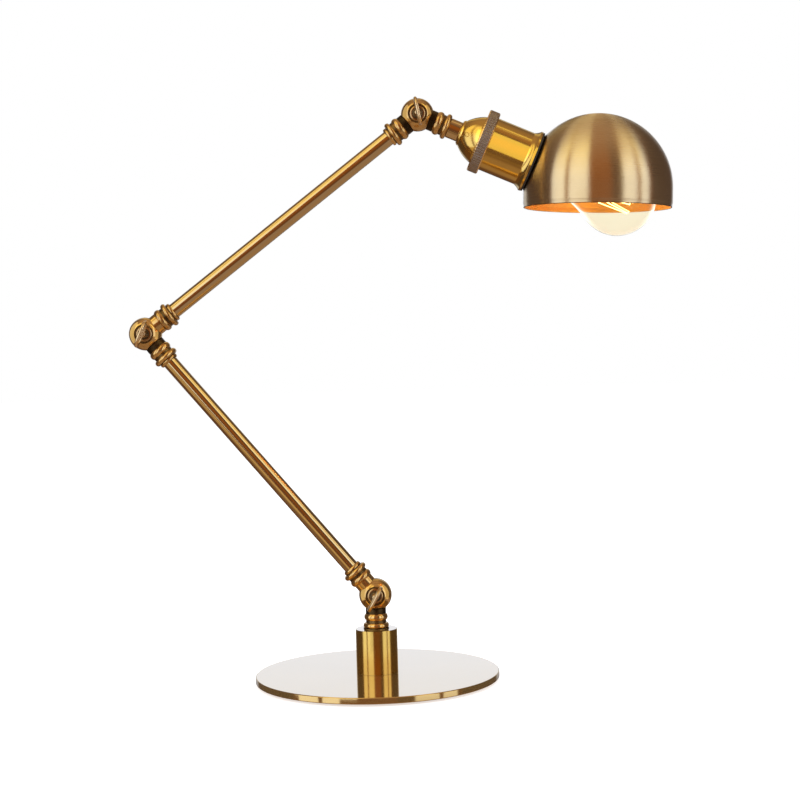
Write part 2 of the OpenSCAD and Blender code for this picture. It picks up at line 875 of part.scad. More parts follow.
// Bends of the filament, down and up round the ring. Each takes a few degrees to turn back.
bend_turn = 10;
function bend(i, turn = 0) = let (a = i * 360 / filament_legs + turn / 2)
    [filament_ring_r * cos(a), filament_ring_r * sin(a),
     globe_z + (i % 2 == 0 ? -1 : 1) * filament_h / 2];

// A round rod between two points
module rod(p, q, r) {
    d = q - p;
    translate(p) rotate([0, acos(d.z / norm(d)), atan2(d.y, d.x)]) cylinder(r = r, h = norm(d));
}

module bulb_supports() {
    color("silver") at(head_pivot, head_angle)
        for (i = [0 : 2 : filament_legs - 2]) {
            foot = [hub_r * cos(i * 360 / filament_legs), hub_r * sin(i * 360 / filament_legs),
                mount_end + hub_h / 2];
            rod(foot, bend(i) - [0, 0, filament_r + support_r], support_r);
        }
}

module bulb_filament() {
    corner_r = 1.4 * filament_r;
    color("orange") at(head_pivot, head_angle) {
        for (i = [0 : filament_legs - 1]) {
            rod(bend(i, -bend_turn), bend(i, bend_turn), filament_r);
            for (turn = [-bend_turn, bend_turn])
                translate(bend(i, turn)) sphere(r = corner_r);
        }
        for (i = [0 : filament_legs - 2])
            rod(bend(i, bend_turn), bend(i + 1, -bend_turn), filament_r);
    }
}

module base_thumbscrew() {
    at(base_pivot, base_loop_angle) thumbscrew();
}

module elbow_thumbscrew() {
    at(elbow_pivot, elbow_loop_angle) thumbscrew();
}

module head_thumbscrew() {
    at(head_pivot, head_loop_angle) thumbscrew();
}

base_plate();
base_pad();
base_stem();
stem_foot();
base_bolt();
base_washer();
cable_bush();
stem_nipple();
stem_nut();
stem_collar();
base_knuckle();
base_friction_washer();
base_lead();
lower_knuckle();
base_face_washer();
lower_tube();
lower_ferrules();
elbow_knuckle();
elbow_friction_washer();
lower_lead();
upper_knuckle();
elbow_face_washer();
upper_tube();
upper_ferrules();
head_knuckle();
head_friction_washer();
upper_lead();
holder_knuckle();
head_face_washer();
holder_coupler();
holder_nipple();
holder_nut();
holder_cap();
knurled_ring();
holder_sleeve();
holder_gasket();
holder_core();
screw_shell();
centre_contact();
terminal_screws();
shade_nut();
dome_shade();
head_lead();
bulb_glass();
bulb_cap();
bulb_insulator();
bulb_tip();
bulb_mount();
bulb_supports();
bulb_filament();
base_thumbscrew();
elbow_thumbscrew();
head_thumbscrew();
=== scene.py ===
# %% [markdown]
# # Dome shade desk lamp
# The lamp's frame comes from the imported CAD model: a round base with a short stem, two arms that are joined
# by clamped ball knuckles, and a spun dome shade on a threaded lampholder. This notebook dresses that frame.
# Nothing in the frame is moved or resized. Each piece that shows is modelled again with smooth, bevelled
# surfaces in the place that the CAD gives it, and hidden pieces keep their CAD shape and get a finish.

# %% Load the frame
import math

import bpy
from mathutils import Matrix, Vector


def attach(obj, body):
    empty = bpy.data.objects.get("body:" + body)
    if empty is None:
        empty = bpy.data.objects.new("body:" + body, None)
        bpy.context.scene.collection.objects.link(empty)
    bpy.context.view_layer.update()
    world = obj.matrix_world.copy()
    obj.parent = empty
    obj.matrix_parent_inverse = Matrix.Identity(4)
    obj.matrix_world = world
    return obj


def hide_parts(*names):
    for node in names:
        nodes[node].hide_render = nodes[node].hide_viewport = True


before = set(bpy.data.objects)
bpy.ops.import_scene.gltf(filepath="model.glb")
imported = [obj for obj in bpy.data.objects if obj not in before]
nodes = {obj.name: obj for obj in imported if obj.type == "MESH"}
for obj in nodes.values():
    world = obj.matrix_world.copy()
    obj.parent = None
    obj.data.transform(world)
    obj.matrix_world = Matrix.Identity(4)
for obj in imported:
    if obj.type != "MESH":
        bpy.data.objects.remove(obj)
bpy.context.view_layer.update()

# %% [markdown]
# ## The camera
# The photograph was taken from a little above the middle of the lamp, level with it in depth and turned by
# one and a half degrees. A camera could be aimed by hand, but its place and turn are known exactly from the
# lamp's own sizes, so a matrix is written from them: its columns are the camera's right, up and back.

# %% Camera
PITCH = math.radians(2.34)
ROLL = math.radians(1.58)
DISTANCE = 1.23036
TARGET = Vector((0.02188, 0, 0.20502))
SENSOR = 36.0
FOCAL_PIXELS, IMAGE_PIXELS = 1690.67, 800

back = Vector((0, -math.cos(PITCH), math.sin(PITCH)))
level_up = Vector((0, math.sin(PITCH), math.cos(PITCH)))
level_right = Vector((1, 0, 0))
right = level_right * math.cos(ROLL) - level_up * math.sin(ROLL)
up = level_right * math.sin(ROLL) + level_up * math.cos(ROLL)

bpy.ops.object.camera_add()
camera = bpy.context.object
camera.name = "photo_camera"
camera.matrix_world = Matrix.Translation(TARGET + back * DISTANCE) @ Matrix(
    (right, up, back)
).transposed().to_4x4()
camera.data.sensor_width = SENSOR
camera.data.lens = SENSOR * FOCAL_PIXELS / IMAGE_PIXELS
camera.data.clip_end = 20
bpy.context.scene.camera = camera
bpy.context.scene.view_settings.view_transform = "Standard"
print("camera at", [round(v, 3) for v in camera.location], "lens", round(camera.data.lens, 2))

# %% [markdown]
# ## Sizes of the lamp
# These are the same sizes as in the CAD source, in millimetres. Each arm and the head have their own frame:
# the pivot of the knuckle is the origin, and the piece is drawn along Z. One matrix then puts it in place.

# %% Sizes and frames
MM = 0.001
ARM_LENGTH = 253
LOWER_ANGLE, UPPER_ANGLE, HEAD_ANGLE = 129.69, 37.15, -23.72
LOOP_ANGLES = {"base": 59.7, "elbow": 66.5, "head": 100.7}
BALL_R, SPLIT, NECK_R, NECK_END, SOCKET = 12, 0.6, 7.4, 24.3, 7.5
PLATE_TOP, STEM_TOP, PIVOT_HEIGHT = 6.5, 38.5, 63.4


def towards(angle):
    """Direction at an angle up from level, in the plane of the arms."""
    return Vector((math.cos(math.radians(angle)), 0, math.sin(math.radians(angle))))


base_pivot = Vector((0, 0, PIVOT_HEIGHT))
elbow_pivot = base_pivot + ARM_LENGTH * towards(LOWER_ANGLE)
head_pivot = elbow_pivot + ARM_LENGTH * towards(UPPER_ANGLE)
PIVOTS = {"base": base_pivot, "elbow": elbow_pivot, "head": head_pivot}


def at(pivot, angle):
    """Matrix that takes what is drawn along Z to a pivot and turns it to an angle."""
    return Matrix.Translation(PIVOTS[pivot] * MM) @ Matrix.Rotation(math.radians(90 - angle), 4, "Y")


HEAD_FRAME = at("head", HEAD_ANGLE)
ALONG_Y = Matrix.Rotation(math.radians(-90), 4, "X")
print("pivots:", {k: [round(c, 1) for c in v] for k, v in PIVOTS.items()})

# %% [markdown]
# ## A lathe
# Almost every piece of this lamp was turned on a lathe or spun over a form. In Blender that is an outline and
# a spin: one point is placed, extruded from corner to corner of half the section, and spun round Z. Screw
# modifiers or stacked cylinders could do it too, but a spun outline gives one closed skin with its grooves
# and beads in it, as the tool leaves them. The seam is merged, and the normals are made to look outwards.

# %% Lathe helpers
SIDES = 96


def activate(piece):
    """Makes one piece the only selected one and the active one."""
    bpy.ops.object.select_all(action="DESELECT")
    piece.select_set(True)
    bpy.context.view_layer.objects.active = piece


def named(piece, name):
    piece.name = name
    piece.data.name = name
    return piece


def turned(name, outline, steps=SIDES):
    """Spins an outline of (radius, height) in millimetres round Z. A closed outline ends where it starts."""
    bpy.ops.object.select_all(action="DESELECT")
    r, z = outline[0]
    bpy.ops.mesh.primitive_plane_add(size=MM, location=(r * MM, 0, z * MM))
    piece = named(bpy.context.object, name)
    bpy.ops.object.transform_apply(location=True, rotation=False, scale=False)
    bpy.ops.object.mode_set(mode="EDIT")
    bpy.ops.mesh.merge(type="CENTER")
    for next_r, next_z in outline[1:]:
        step = ((next_r - r) * MM, 0, (next_z - z) * MM)
        bpy.ops.mesh.extrude_region_move(TRANSFORM_OT_translate={"value": step})
        r, z = next_r, next_z
    bpy.ops.mesh.select_all(action="SELECT")
    bpy.ops.mesh.spin(steps=steps, angle=2 * math.pi, center=(0, 0, 0), axis=(0, 0, 1))
    bpy.ops.mesh.select_all(action="SELECT")
    bpy.ops.mesh.remove_doubles(threshold=1e-6)
    bpy.ops.mesh.normals_make_consistent(inside=False)
    bpy.ops.object.mode_set(mode="OBJECT")
    return piece


def apply_modifier(piece, kind, **settings):
    """Adds a modifier with its settings and applies it."""
    modifier = piece.modifiers.new(kind.title(), kind)
    for setting, value in settings.items():
        setattr(modifier, setting, value)
    activate(piece)
    bpy.ops.object.modifier_apply(modifier=modifier.name)


def soften(piece, width=0.2, angle=35):
    """Breaks the sharp edges, as a file or a polishing wheel does. Width in millimetres."""
    apply_modifier(piece, "BEVEL", width=width * MM, segments=2, limit_method="ANGLE",
                   angle_limit=math.radians(angle), use_clamp_overlap=True)


def place(piece, matrix):
    """Takes a piece to its place, and puts that place in its mesh."""
    piece.matrix_world = matrix
    activate(piece)
    bpy.ops.object.transform_apply(location=True, rotation=True, scale=True)
    return piece


def smooth(piece, angle=30):
    """Shades smoothly over shallow edges. Weighted normals keep large faces beside a small bevel flat."""
    activate(piece)
    bpy.ops.object.shade_smooth_by_angle(angle=math.radians(angle))
    apply_modifier(piece, "WEIGHTED_NORMAL", keep_sharp=True, weight=80)


# %% [markdown]
# Beads, bulges and the neck of the bulb are arcs of circles. This gives the points of an arc between two
# corners of an outline from how far it stands out.

# %% Arcs for outlines


def arc(start, end, rise, count=10):
    """Points from start to end on an arc that stands out by rise, to the right hand of the way."""
    p, q = Vector(start), Vector(end)
    line = q - p
    length = line.length
    radius = (length**2 / 4 + rise**2) / (2 * rise)
    centre = (p + q) / 2 + (radius - rise) * Vector((-line.y, line.x)) / length
    a = math.atan2(p.y - centre.y, p.x - centre.x)
    b = math.atan2(q.y - centre.y, q.x - centre.x)
    turn = (b - a + math.pi) % (2 * math.pi) - math.pi
    return [
        (centre.x + abs(radius) * math.cos(a + turn * i / count),
         centre.y + abs(radius) * math.sin(a + turn * i / count))
        for i in range(count + 1)
    ]


def sweep(centre, radius, a, b, count):
    """Points of a circle from angle a to angle b, in degrees."""
    angles = [math.radians(a + (b - a) * i / count) for i in range(count + 1)]
    return [(centre[0] + radius * math.cos(t), centre[1] + radius * math.sin(t)) for t in angles]


# %% [markdown]
# ## Turning marks need a map
# Fine grooves run round each turned piece, and they are why a brushed dome shows its bright bands from rim to
# crown. A shader can only follow them if it knows which way is round, so the piece gets a UV map while it
# still stands upright on Z: U runs once round, and V grows with the height and the radius, so that it runs
# along the outline on upright walls, on flat faces and on the dome alike.

# %% UV map of a turned piece
TURNED = "Turned"
V_LEAN, V_PER_METRE = 0.61, 10


def map_turning(piece):
    """Writes the UV map. Faces that cross the seam are lifted by a whole turn on one side."""
    mesh = piece.data
    layer = mesh.uv_layers.get(TURNED) or mesh.uv_layers.new(name=TURNED)
    for face in mesh.polygons:
        points = [mesh.vertices[mesh.loops[i].vertex_index].co for i in face.loop_indices]
        us = [math.atan2(p.y, p.x) / (2 * math.pi) for p in points]
        if max(us) - min(us) > 0.5:
            us = [u + 1 if u < 0 else u for u in us]
        for i, u, p in zip(face.loop_indices, us, points):
            layer.data[i].uv = (u, (p.z - V_LEAN * math.hypot(p.x, p.y)) * V_PER_METRE)


# %% [markdown]
# Old polish and dust settle where a cloth doesn't reach: in the recess of a ball and in the groove between
# two beads. Shade falls there too, and under a neck, and it is painted with the same dark colour. A shader
# could look for such places by itself, but it takes a smooth recess for an open face. So each face of a
# knuckle says how much dust and painted shade it holds, in an attribute that the material reads.

# %% Deposit and painted shade on the faces
# The attribute holds dust and painted shade together.
DEPOSIT_AND_SHADE_ATTRIBUTE = "Deposit"


def settle_deposit_and_shade(piece, amount_at):
    """Writes for each face how much dust and painted shade it holds. amount_at takes the face's centre in
    millimetres.
    """
    layer = piece.data.attributes.new(DEPOSIT_AND_SHADE_ATTRIBUTE, "FLOAT", "CORNER")
    for face in piece.data.polygons:
        amount = amount_at(face.center / MM)
        for i in face.loop_indices:
            layer.data[i].value = amount


# %% [markdown]
# ## Finishes
# All the metal is brass, but each piece was worked in its own way: cast and aged at the knuckles, drawn in
# the arms, turned and lacquered at the lampholder, spun and brushed at the shade, polished on the plate. What
# they share is built once as node groups. The first group gives old brass its cloudy tone, its tiny pits, and
# a dark colour in grooves that is partly dirt and partly painted shade. The second gives the fine marks that
# a lathe leaves.

# %% Node helpers


def add_node(tree, kind, **settings):
    node = tree.nodes.new(kind)
    for setting, value in settings.items():
        setattr(node, setting, value)
    return node


def give(socket, value):
    """Links an output of another node to a socket, or sets the socket to a plain value."""
    if isinstance(value, bpy.types.NodeSocket):
        socket.id_data.links.new(value, socket)
    else:
        socket.default_value = value


def feed(node, **values):
    """Gives a node's inputs what they need. An underscore in a name stands for a space."""
    for key, value in values.items():
        give(node.inputs[key.replace("_", " ")], value)
    return node


def calc(operation, *values, clamp=False):
    """A Math node. Values are numbers or outputs of other nodes, at least one of them an output."""
    tree = next(value for value in values if isinstance(value, bpy.types.NodeSocket)).id_data
    node = add_node(tree, "ShaderNodeMath", operation=operation, use_clamp=clamp)
    for socket, value in zip(node.inputs, values):
        give(socket, value)
    return node.outputs[0]


def above(value, start, gain):
    """0 up to a start, and then rising with a gain to 1."""
    return calc("MULTIPLY", calc("SUBTRACT", value, start, clamp=True), gain, clamp=True)


def ramp(value, low, high, start=0.0, end=1.0):
    """Goes smoothly from start to end while a value goes from low to high."""
    node = add_node(value.id_data, "ShaderNodeMapRange", interpolation_type="SMOOTHSTEP")
    return feed(node, Value=value, From_Min=low, From_Max=high, To_Min=start, To_Max=end).outputs[0]


def place_in(tree):
    """The place on the piece, in metres."""
    return add_node(tree, "ShaderNodeTexCoord").outputs["Object"]


def noise(point, **settings):
    """A cloudy pattern at a place on the piece."""
    return feed(add_node(point.id_data, "ShaderNodeTexNoise"), Vector=point, **settings).outputs[0]


def blend_colours(factor, first, second):
    """Mixes two colours. In a Mix node they are inputs 6 and 7, and output 2 is their mix."""
    node = add_node(factor.id_data, "ShaderNodeMix", data_type="RGBA")
    for i, value in ((0, factor), (6, first), (7, second)):
        give(node.inputs[i], value)
    return node.outputs[2]


def new_group(name, inputs, outputs):
    """A shader node group with named inputs and outputs. Inputs are (name, socket kind, value)."""
    tree = bpy.data.node_groups.new(name, "ShaderNodeTree")
    for label, kind, value in inputs:
        socket = tree.interface.new_socket(label, in_out="INPUT", socket_type="NodeSocket" + kind)
        if value is not None:
            socket.default_value = value
    for label, kind in outputs:
        tree.interface.new_socket(label, in_out="OUTPUT", socket_type="NodeSocket" + kind)
    return tree, tree.nodes.new("NodeGroupInput").outputs, tree.nodes.new("NodeGroupOutput").inputs


def new_material(name):
    """A new material, with its node tree and its shader."""
    material = bpy.data.materials.new(name)
    material.use_nodes = True
    return material, material.node_tree, material.node_tree.nodes["Principled BSDF"]


# %% Node group: old brass
old_brass, given, made = new_group(
    "Old brass",
    [("Bright", "Color", (0.7, 0.45, 0.15, 1)), ("Deep", "Color", (0.4, 0.22, 0.06, 1)),
     ("Cloud Scale", "Float", 60.0), ("Cloud Amount", "Float", 0.5), ("Grime", "Float", 0.5),
     ("Grime Reach", "Float", 0.003), ("Roughness", "Float", 0.25), ("Pits", "Float", 0.1)],
    [("Color", "Color"), ("Roughness", "Float"), ("Normal", "Vector")],
)
# Grime and painted shade in crevices share one dark colour. The Grime inputs set how much and how far.
GRIME_AND_SHADE_COLOUR = (0.035, 0.02, 0.008, 1)
PIT_SCALE, PIT_DEPTH = 1400.0, 0.0002
CLOUD_DULLING, DEPOSIT_AND_SHADE_DULLING = 0.12, 0.3
place_on_brass = place_in(old_brass)
clouds = noise(place_on_brass, Scale=given["Cloud Scale"], Detail=5.0, Roughness=0.6)
tone = blend_colours(calc("MULTIPLY", above(clouds, 0.35, 2.6), given["Cloud Amount"]),
                     given["Bright"], given["Deep"])
# Occlusion darkens the crevices: partly grime, partly painted shade.
shelter = feed(add_node(old_brass, "ShaderNodeAmbientOcclusion", samples=6), Distance=given["Grime Reach"])
sheltered = calc("SUBTRACT", 1.0, shelter.outputs["AO"], clamp=True)
crevice_grime_and_shade = calc("MULTIPLY", calc("ADD", sheltered, calc("MULTIPLY", clouds, 0.2)), given["Grime"])
# The faces' Deposit attribute adds deposit and painted shade in the same dark colour.
face_deposit_and_shade = calc("MULTIPLY", add_node(old_brass, "ShaderNodeAttribute", attribute_name=DEPOSIT_AND_SHADE_ATTRIBUTE).outputs["Fac"],
               calc("ADD", 0.65, calc("MULTIPLY", clouds, 0.7)), clamp=True)
deposit_and_shade = calc("MAXIMUM", above(crevice_grime_and_shade, 0.25, 2.2), face_deposit_and_shade)
give(made["Color"], blend_colours(deposit_and_shade, tone, GRIME_AND_SHADE_COLOUR))
duller = calc("ADD", calc("MULTIPLY", clouds, CLOUD_DULLING), calc("MULTIPLY", deposit_and_shade, DEPOSIT_AND_SHADE_DULLING))
give(made["Roughness"], calc("ADD", given["Roughness"], calc("SUBTRACT", duller, CLOUD_DULLING / 2)))
pitted = feed(add_node(old_brass, "ShaderNodeBump"), Strength=given["Pits"], Distance=PIT_DEPTH,
              Height=noise(place_on_brass, Scale=PIT_SCALE, Detail=2.0))
give(made["Normal"], pitted.outputs[0])
print("group:", old_brass.name)

# %% Node group: turning marks
turning_marks, given, made = new_group(
    "Turning marks",
    [("Rings", "Float", 900.0), ("Depth", "Float", 0.1), ("Roughness", "Float", 0.25),
     ("Normal", "Vector", None)],
    [("Roughness", "Float"), ("Normal", "Vector")],
)
MARKS_ROUND, MARK_DEPTH, MARK_DULLING = 5.0, 0.0001, 0.25
parts = feed(add_node(turning_marks, "ShaderNodeSeparateXYZ"),
             Vector=add_node(turning_marks, "ShaderNodeUVMap", uv_map=TURNED).outputs[0]).outputs
stretched = feed(add_node(turning_marks, "ShaderNodeCombineXYZ"), X=calc("MULTIPLY", parts[0], MARKS_ROUND),
                 Y=calc("MULTIPLY", parts[1], given["Rings"])).outputs[0]
rings = noise(stretched, Scale=1.0, Detail=3.0, Roughness=0.7)
grooved = feed(add_node(turning_marks, "ShaderNodeBump"), Strength=given["Depth"], Distance=MARK_DEPTH,
               Height=rings, Normal=given["Normal"])
give(made["Normal"], grooved.outputs[0])
uneven = calc("MULTIPLY", calc("SUBTRACT", rings, 0.5), MARK_DULLING)
give(made["Roughness"], calc("ADD", given["Roughness"], uneven))
print("group:", turning_marks.name)

# %% [markdown]
# A brass is then the two groups in front of one shader. The brushed pieces also stretch their highlights
# across the grooves. That is what anisotropy does, and its tangent is read from the turning map.

# %% Brass materials
QUARTER_TURN, COAT_ROUGHNESS = 0.25, 0.06


def brass(name, bright, deep, roughness, clouds=(60.0, 0.4), grime_and_shade=(0.4, 0.003), pits=0.1, rings=None,
          stretch=0.0, coat=0.0, metallic=1.0):
    """A brass. clouds is (scale, amount), grime_and_shade (amount, reach in metres) of the crevice darkening,
    partly dirt and partly painted shade, and rings (how many, how deep).
    """
    material, tree, shader = new_material(name)
    old = feed(add_node(tree, "ShaderNodeGroup", node_tree=old_brass), Bright=(*bright, 1), Deep=(*deep, 1),
               Cloud_Scale=clouds[0], Cloud_Amount=clouds[1], Grime=grime_and_shade[0], Grime_Reach=grime_and_shade[1],
               Roughness=roughness, Pits=pits).outputs
    marked = old
    if rings:
        marked = feed(add_node(tree, "ShaderNodeGroup", node_tree=turning_marks), Rings=rings[0],
                      Depth=rings[1], Roughness=old["Roughness"], Normal=old["Normal"]).outputs
    feed(shader, Metallic=metallic, Base_Color=old["Color"], Roughness=marked["Roughness"],
         Normal=marked["Normal"])
    if stretch:
        tangent = add_node(tree, "ShaderNodeTangent", direction_type="UV_MAP", uv_map=TURNED)
        feed(shader, Anisotropic=stretch, Anisotropic_Rotation=QUARTER_TURN, Tangent=tangent.outputs[0])
    if coat:
        feed(shader, Coat_Weight=coat, Coat_Roughness=COAT_ROUGHNESS)
    return material


cast_brass = brass("Cast brass, aged", (0.8, 0.5, 0.18), (0.36, 0.2, 0.07), 0.11, clouds=(60.0, 0.6),
                   grime_and_shade=(0.9, 0.002), pits=0.004, metallic=0.95)
screw_brass = brass("Thumbscrew brass", (0.86, 0.62, 0.33), (0.6, 0.39, 0.17), 0.3, clouds=(90.0, 0.3),
                    grime_and_shade=(0.6, 0.0015), pits=0.0)
washer_brass = brass("Washer brass", (0.55, 0.34, 0.15), (0.36, 0.21, 0.08), 0.2, clouds=(90.0, 0.3),
                     grime_and_shade=(0.6, 0.0015), pits=0.0)
tube_brass = brass("Drawn brass", (0.73, 0.53, 0.26), (0.58, 0.38, 0.15), 0.1, clouds=(40.0, 0.3),
                   grime_and_shade=(0.6, 0.003), pits=0.01)
stem_brass = brass("Turned brass", (0.72, 0.47, 0.12), (0.6, 0.36, 0.07), 0.2, clouds=(40.0, 0.3),
                   grime_and_shade=(0.5, 0.002), pits=0.04, rings=(1500.0, 0.06), stretch=0.6)
plate_brass = brass("Polished brass", (0.67, 0.44, 0.16), (0.62, 0.4, 0.13), 0.07, clouds=(15.0, 0.3),
                    grime_and_shade=(0.0, 0.002), pits=0.01, rings=(900.0, 0.01), coat=0.5, metallic=0.9)
holder_brass = brass("Lacquered brass", (0.74, 0.48, 0.12), (0.67, 0.41, 0.09), 0.14, clouds=(60.0, 0.3),
                     grime_and_shade=(0.5, 0.002), pits=0.02, rings=(1800.0, 0.05), stretch=0.3, coat=0.2)
shade_brass = brass("Spun brass, satin", (0.8, 0.62, 0.37), (0.74, 0.54, 0.29), 0.3, clouds=(25.0, 0.35),
                    grime_and_shade=(0.3, 0.002), pits=0.05, rings=(1400.0, 0.1), stretch=1.0)
# The inside is a more orange, less metallic copy of the shade's brass. Its orange paints the bulb's warm
# light on it.
shade_inside_warm_lit = brass("Spun brass, inside, painted warm light", (0.84, 0.43, 0.1), (0.78, 0.36, 0.07), 0.3, clouds=(30.0, 0.3),
                     grime_and_shade=(0.0, 0.002), pits=0.05, rings=(1000.0, 0.08), stretch=0.6, metallic=0.55)
ring_metal = brass("Oxidised ring", (0.43, 0.36, 0.3), (0.32, 0.26, 0.21), 0.5, clouds=(300.0, 0.6),
                   grime_and_shade=(0.2, 0.001), pits=0.3)
# Bright brass for the ring's chamfers, which paints a highlight on its edges.
ring_edge_highlight = brass("Ring edge highlight", (0.98, 0.64, 0.27), (0.85, 0.5, 0.2), 0.25, clouds=(300.0, 0.4),
                  grime_and_shade=(0.0, 0.001))
nut_metal = brass("Aged nut", (0.5, 0.33, 0.12), (0.32, 0.2, 0.07), 0.35, clouds=(150.0, 0.5),
                  grime_and_shade=(0.8, 0.002), pits=0.2)
contact_brass = brass("Bright brass", (0.82, 0.62, 0.3), (0.7, 0.48, 0.2), 0.22)
steel = brass("Zinc plated steel", (0.6, 0.6, 0.58), (0.45, 0.45, 0.44), 0.32, clouds=(200.0, 0.4),
              grime_and_shade=(0.3, 0.002), pits=0.15)
print("metals:", len(bpy.data.materials))

# %% [markdown]
# The rest is simple: a soft foam pad under the plate, black rubber for the gasket and the bush, moulded and
# pressed insulators, and the covers of the inner leads. Each has a grain of its own size, so none of them is
# one flat colour.

# %% Node group: grain
grain, given, made = new_group(
    "Grain",
    [("Colour", "Color", (0.1, 0.1, 0.1, 1)), ("Other", "Color", (0.05, 0.05, 0.05, 1)),
     ("Scale", "Float", 800.0), ("Depth", "Float", 0.2), ("Roughness", "Float", 0.6)],
    [("Color", "Color"), ("Roughness", "Float"), ("Normal", "Vector")],
)
GRAIN_HEIGHT, GRAIN_DULLING = 0.0003, 0.3
spots = noise(place_in(grain), Scale=given["Scale"], Detail=4.0)
give(made["Color"], blend_colours(spots, given["Colour"], given["Other"]))
uneven = calc("MULTIPLY", calc("SUBTRACT", spots, 0.5), GRAIN_DULLING)
give(made["Roughness"], calc("ADD", given["Roughness"], uneven))
raised = feed(add_node(grain, "ShaderNodeBump"), Strength=given["Depth"], Distance=GRAIN_HEIGHT, Height=spots)
give(made["Normal"], raised.outputs[0])
print("group:", grain.name)

# %% Soft and moulded materials


def grained(name, colour, other, scale, depth, roughness):
    """A material of two colours in a grain, which is raised by a depth."""
    material, tree, shader = new_material(name)
    surface = feed(add_node(tree, "ShaderNodeGroup", node_tree=grain), Colour=(*colour, 1), Other=(*other, 1),
                   Scale=scale, Depth=depth, Roughness=roughness).outputs
    feed(shader, Base_Color=surface["Color"], Roughness=surface["Roughness"], Normal=surface["Normal"])
    return material


pad_foam = grained("Foam pad", (0.1, 0.08, 0.07), (0.05, 0.04, 0.035), 700.0, 0.8, 0.85)
rubber = grained("Black rubber", (0.03, 0.026, 0.024), (0.014, 0.012, 0.011), 1200.0, 0.3, 0.5)
core_plastic = grained("Moulded insulator", (0.06, 0.05, 0.045), (0.035, 0.03, 0.028), 500.0, 0.1, 0.35)
fibre = grained("Pressed fibre", (0.22, 0.13, 0.08), (0.13, 0.08, 0.05), 1500.0, 0.5, 0.8)
lead_cover = grained("Lead cover", (0.17, 0.11, 0.07), (0.1, 0.06, 0.04), 900.0, 0.2, 0.5)

# %% [markdown]
# The bulb is a clear globe with a warm wire in it. Its glass is a true hollow shell, so it bends the light by
# itself. Its cream tint paints the warm glow of the lit globe, and each surface gets only a little of it,
# because the light crosses four surfaces. Where the glass is seen edge-on an emission paints a highlight,
# stronger inside the shade than below it. The wire shines by emission.

# %% Glass and glowing wire
# The cream tints paint the warm glow of the lit globe.
WARM_GLOW_TINT, PALER_GLOW_TINT = (0.98, 0.93, 0.78, 1), (0.985, 0.945, 0.82, 1)
NO_LIGHT, EDGE_LIGHT = (0, 0, 0, 1), (1, 1, 0.97, 1)
BELOW_SHADE, IN_SHADE = 0.322, 0.338
SMUDGE_DULLING, GLASS_IOR = 0.03, 1.18
clear_glass, tree, shader = new_material("Bulb glass")
place_on_glass = place_in(tree)
smudges = noise(place_on_glass, Scale=45.0, Detail=3.0)
# Emission where the glass is seen edge-on paints a highlight, stronger inside the shade than below it.
painted_edge_highlight = ramp(add_node(tree, "ShaderNodeLayerWeight").outputs["Facing"], 0.5, 0.8, 0.0, 0.4)
height_on_glass = feed(add_node(tree, "ShaderNodeSeparateXYZ"), Vector=place_on_glass).outputs[2]
painted_edge_highlight = calc("MULTIPLY", painted_edge_highlight, ramp(height_on_glass, BELOW_SHADE, IN_SHADE, 0.1, 1.0))
feed(shader, Base_Color=blend_colours(smudges, WARM_GLOW_TINT, PALER_GLOW_TINT),
     Roughness=calc("MULTIPLY", smudges, SMUDGE_DULLING), Transmission_Weight=1.0, IOR=GLASS_IOR,
     Emission_Color=blend_colours(painted_edge_highlight, NO_LIGHT, EDGE_LIGHT), Emission_Strength=1.0)

WIRE_COLOUR, WIRE_GLOW, DEEPER_GLOW = (0.5, 0.35, 0.15, 1), (1.0, 0.8, 0.35, 1), (1.0, 0.66, 0.2, 1)
WIRE_STRENGTH = 3.5
glowing_wire, tree, shader = new_material("Glowing wire")
heat = noise(place_in(tree), Scale=120.0)
feed(shader, Base_Color=WIRE_COLOUR, Emission_Color=blend_colours(heat, WIRE_GLOW, DEEPER_GLOW),
     Emission_Strength=WIRE_STRENGTH)
glowing_wire.cycles.emission_sampling = "NONE"
print("materials:", [m.name for m in bpy.data.materials])

# %% [markdown]
# ## Handing a piece to the frame
# Each finished piece takes its materials, rides on a CAD body, and hides the CAD nodes that it stands for.
# One function does the three together.

# %% Finish a piece


def finish_piece(piece, body, slot, replaced, *materials):
    piece.data.materials.clear()
    for material in materials:
        piece.data.materials.append(material)
    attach(piece, body)
    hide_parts(*replaced)
    print(piece.name, len(piece.data.polygons), "faces on", body)
    return piece


# %% [markdown]
# ## Base plate and stem
# The plate is a round disc of brass, flat and polished, with its edge just broken. The stem is a turned cup
# with a thin dark collar on top. A hole behind takes the bush for the mains lead.

# %% Base plate
PLATE_R, PAD_TOP, BEVEL = 89, 1.8, 0.5
POCKET_R, POCKET_TOP, BOLT_HOLE_R = 9.2, 4.6, 4.2
plate = turned("plate_skin", [
    (POCKET_R, PAD_TOP), (PLATE_R - BEVEL, PAD_TOP), (PLATE_R, PAD_TOP + BEVEL), (PLATE_R, PLATE_TOP - BEVEL),
    (PLATE_R - BEVEL, PLATE_TOP), (60, PLATE_TOP), (30, PLATE_TOP), (BOLT_HOLE_R, PLATE_TOP),
    (BOLT_HOLE_R, POCKET_TOP), (POCKET_R, POCKET_TOP), (POCKET_R, PAD_TOP),
], steps=180)
soften(plate, 0.12)
map_turning(plate)
smooth(plate)
finish_piece(plate, "base", "plate_brass", ["base_plate"], plate_brass)

# %% Cutting, and a second material


def combine(piece, other, operation):
    """Joins, cuts or keeps what two shapes share, and deletes the second."""
    apply_modifier(piece, "BOOLEAN", object=other, operation=operation, solver="MANIFOLD")
    bpy.data.objects.remove(other)


def paint(piece, chosen):
    """Gives a piece's second material to the faces that pass a test."""
    for face in piece.data.polygons:
        face.material_index = 1 if chosen(face) else 0


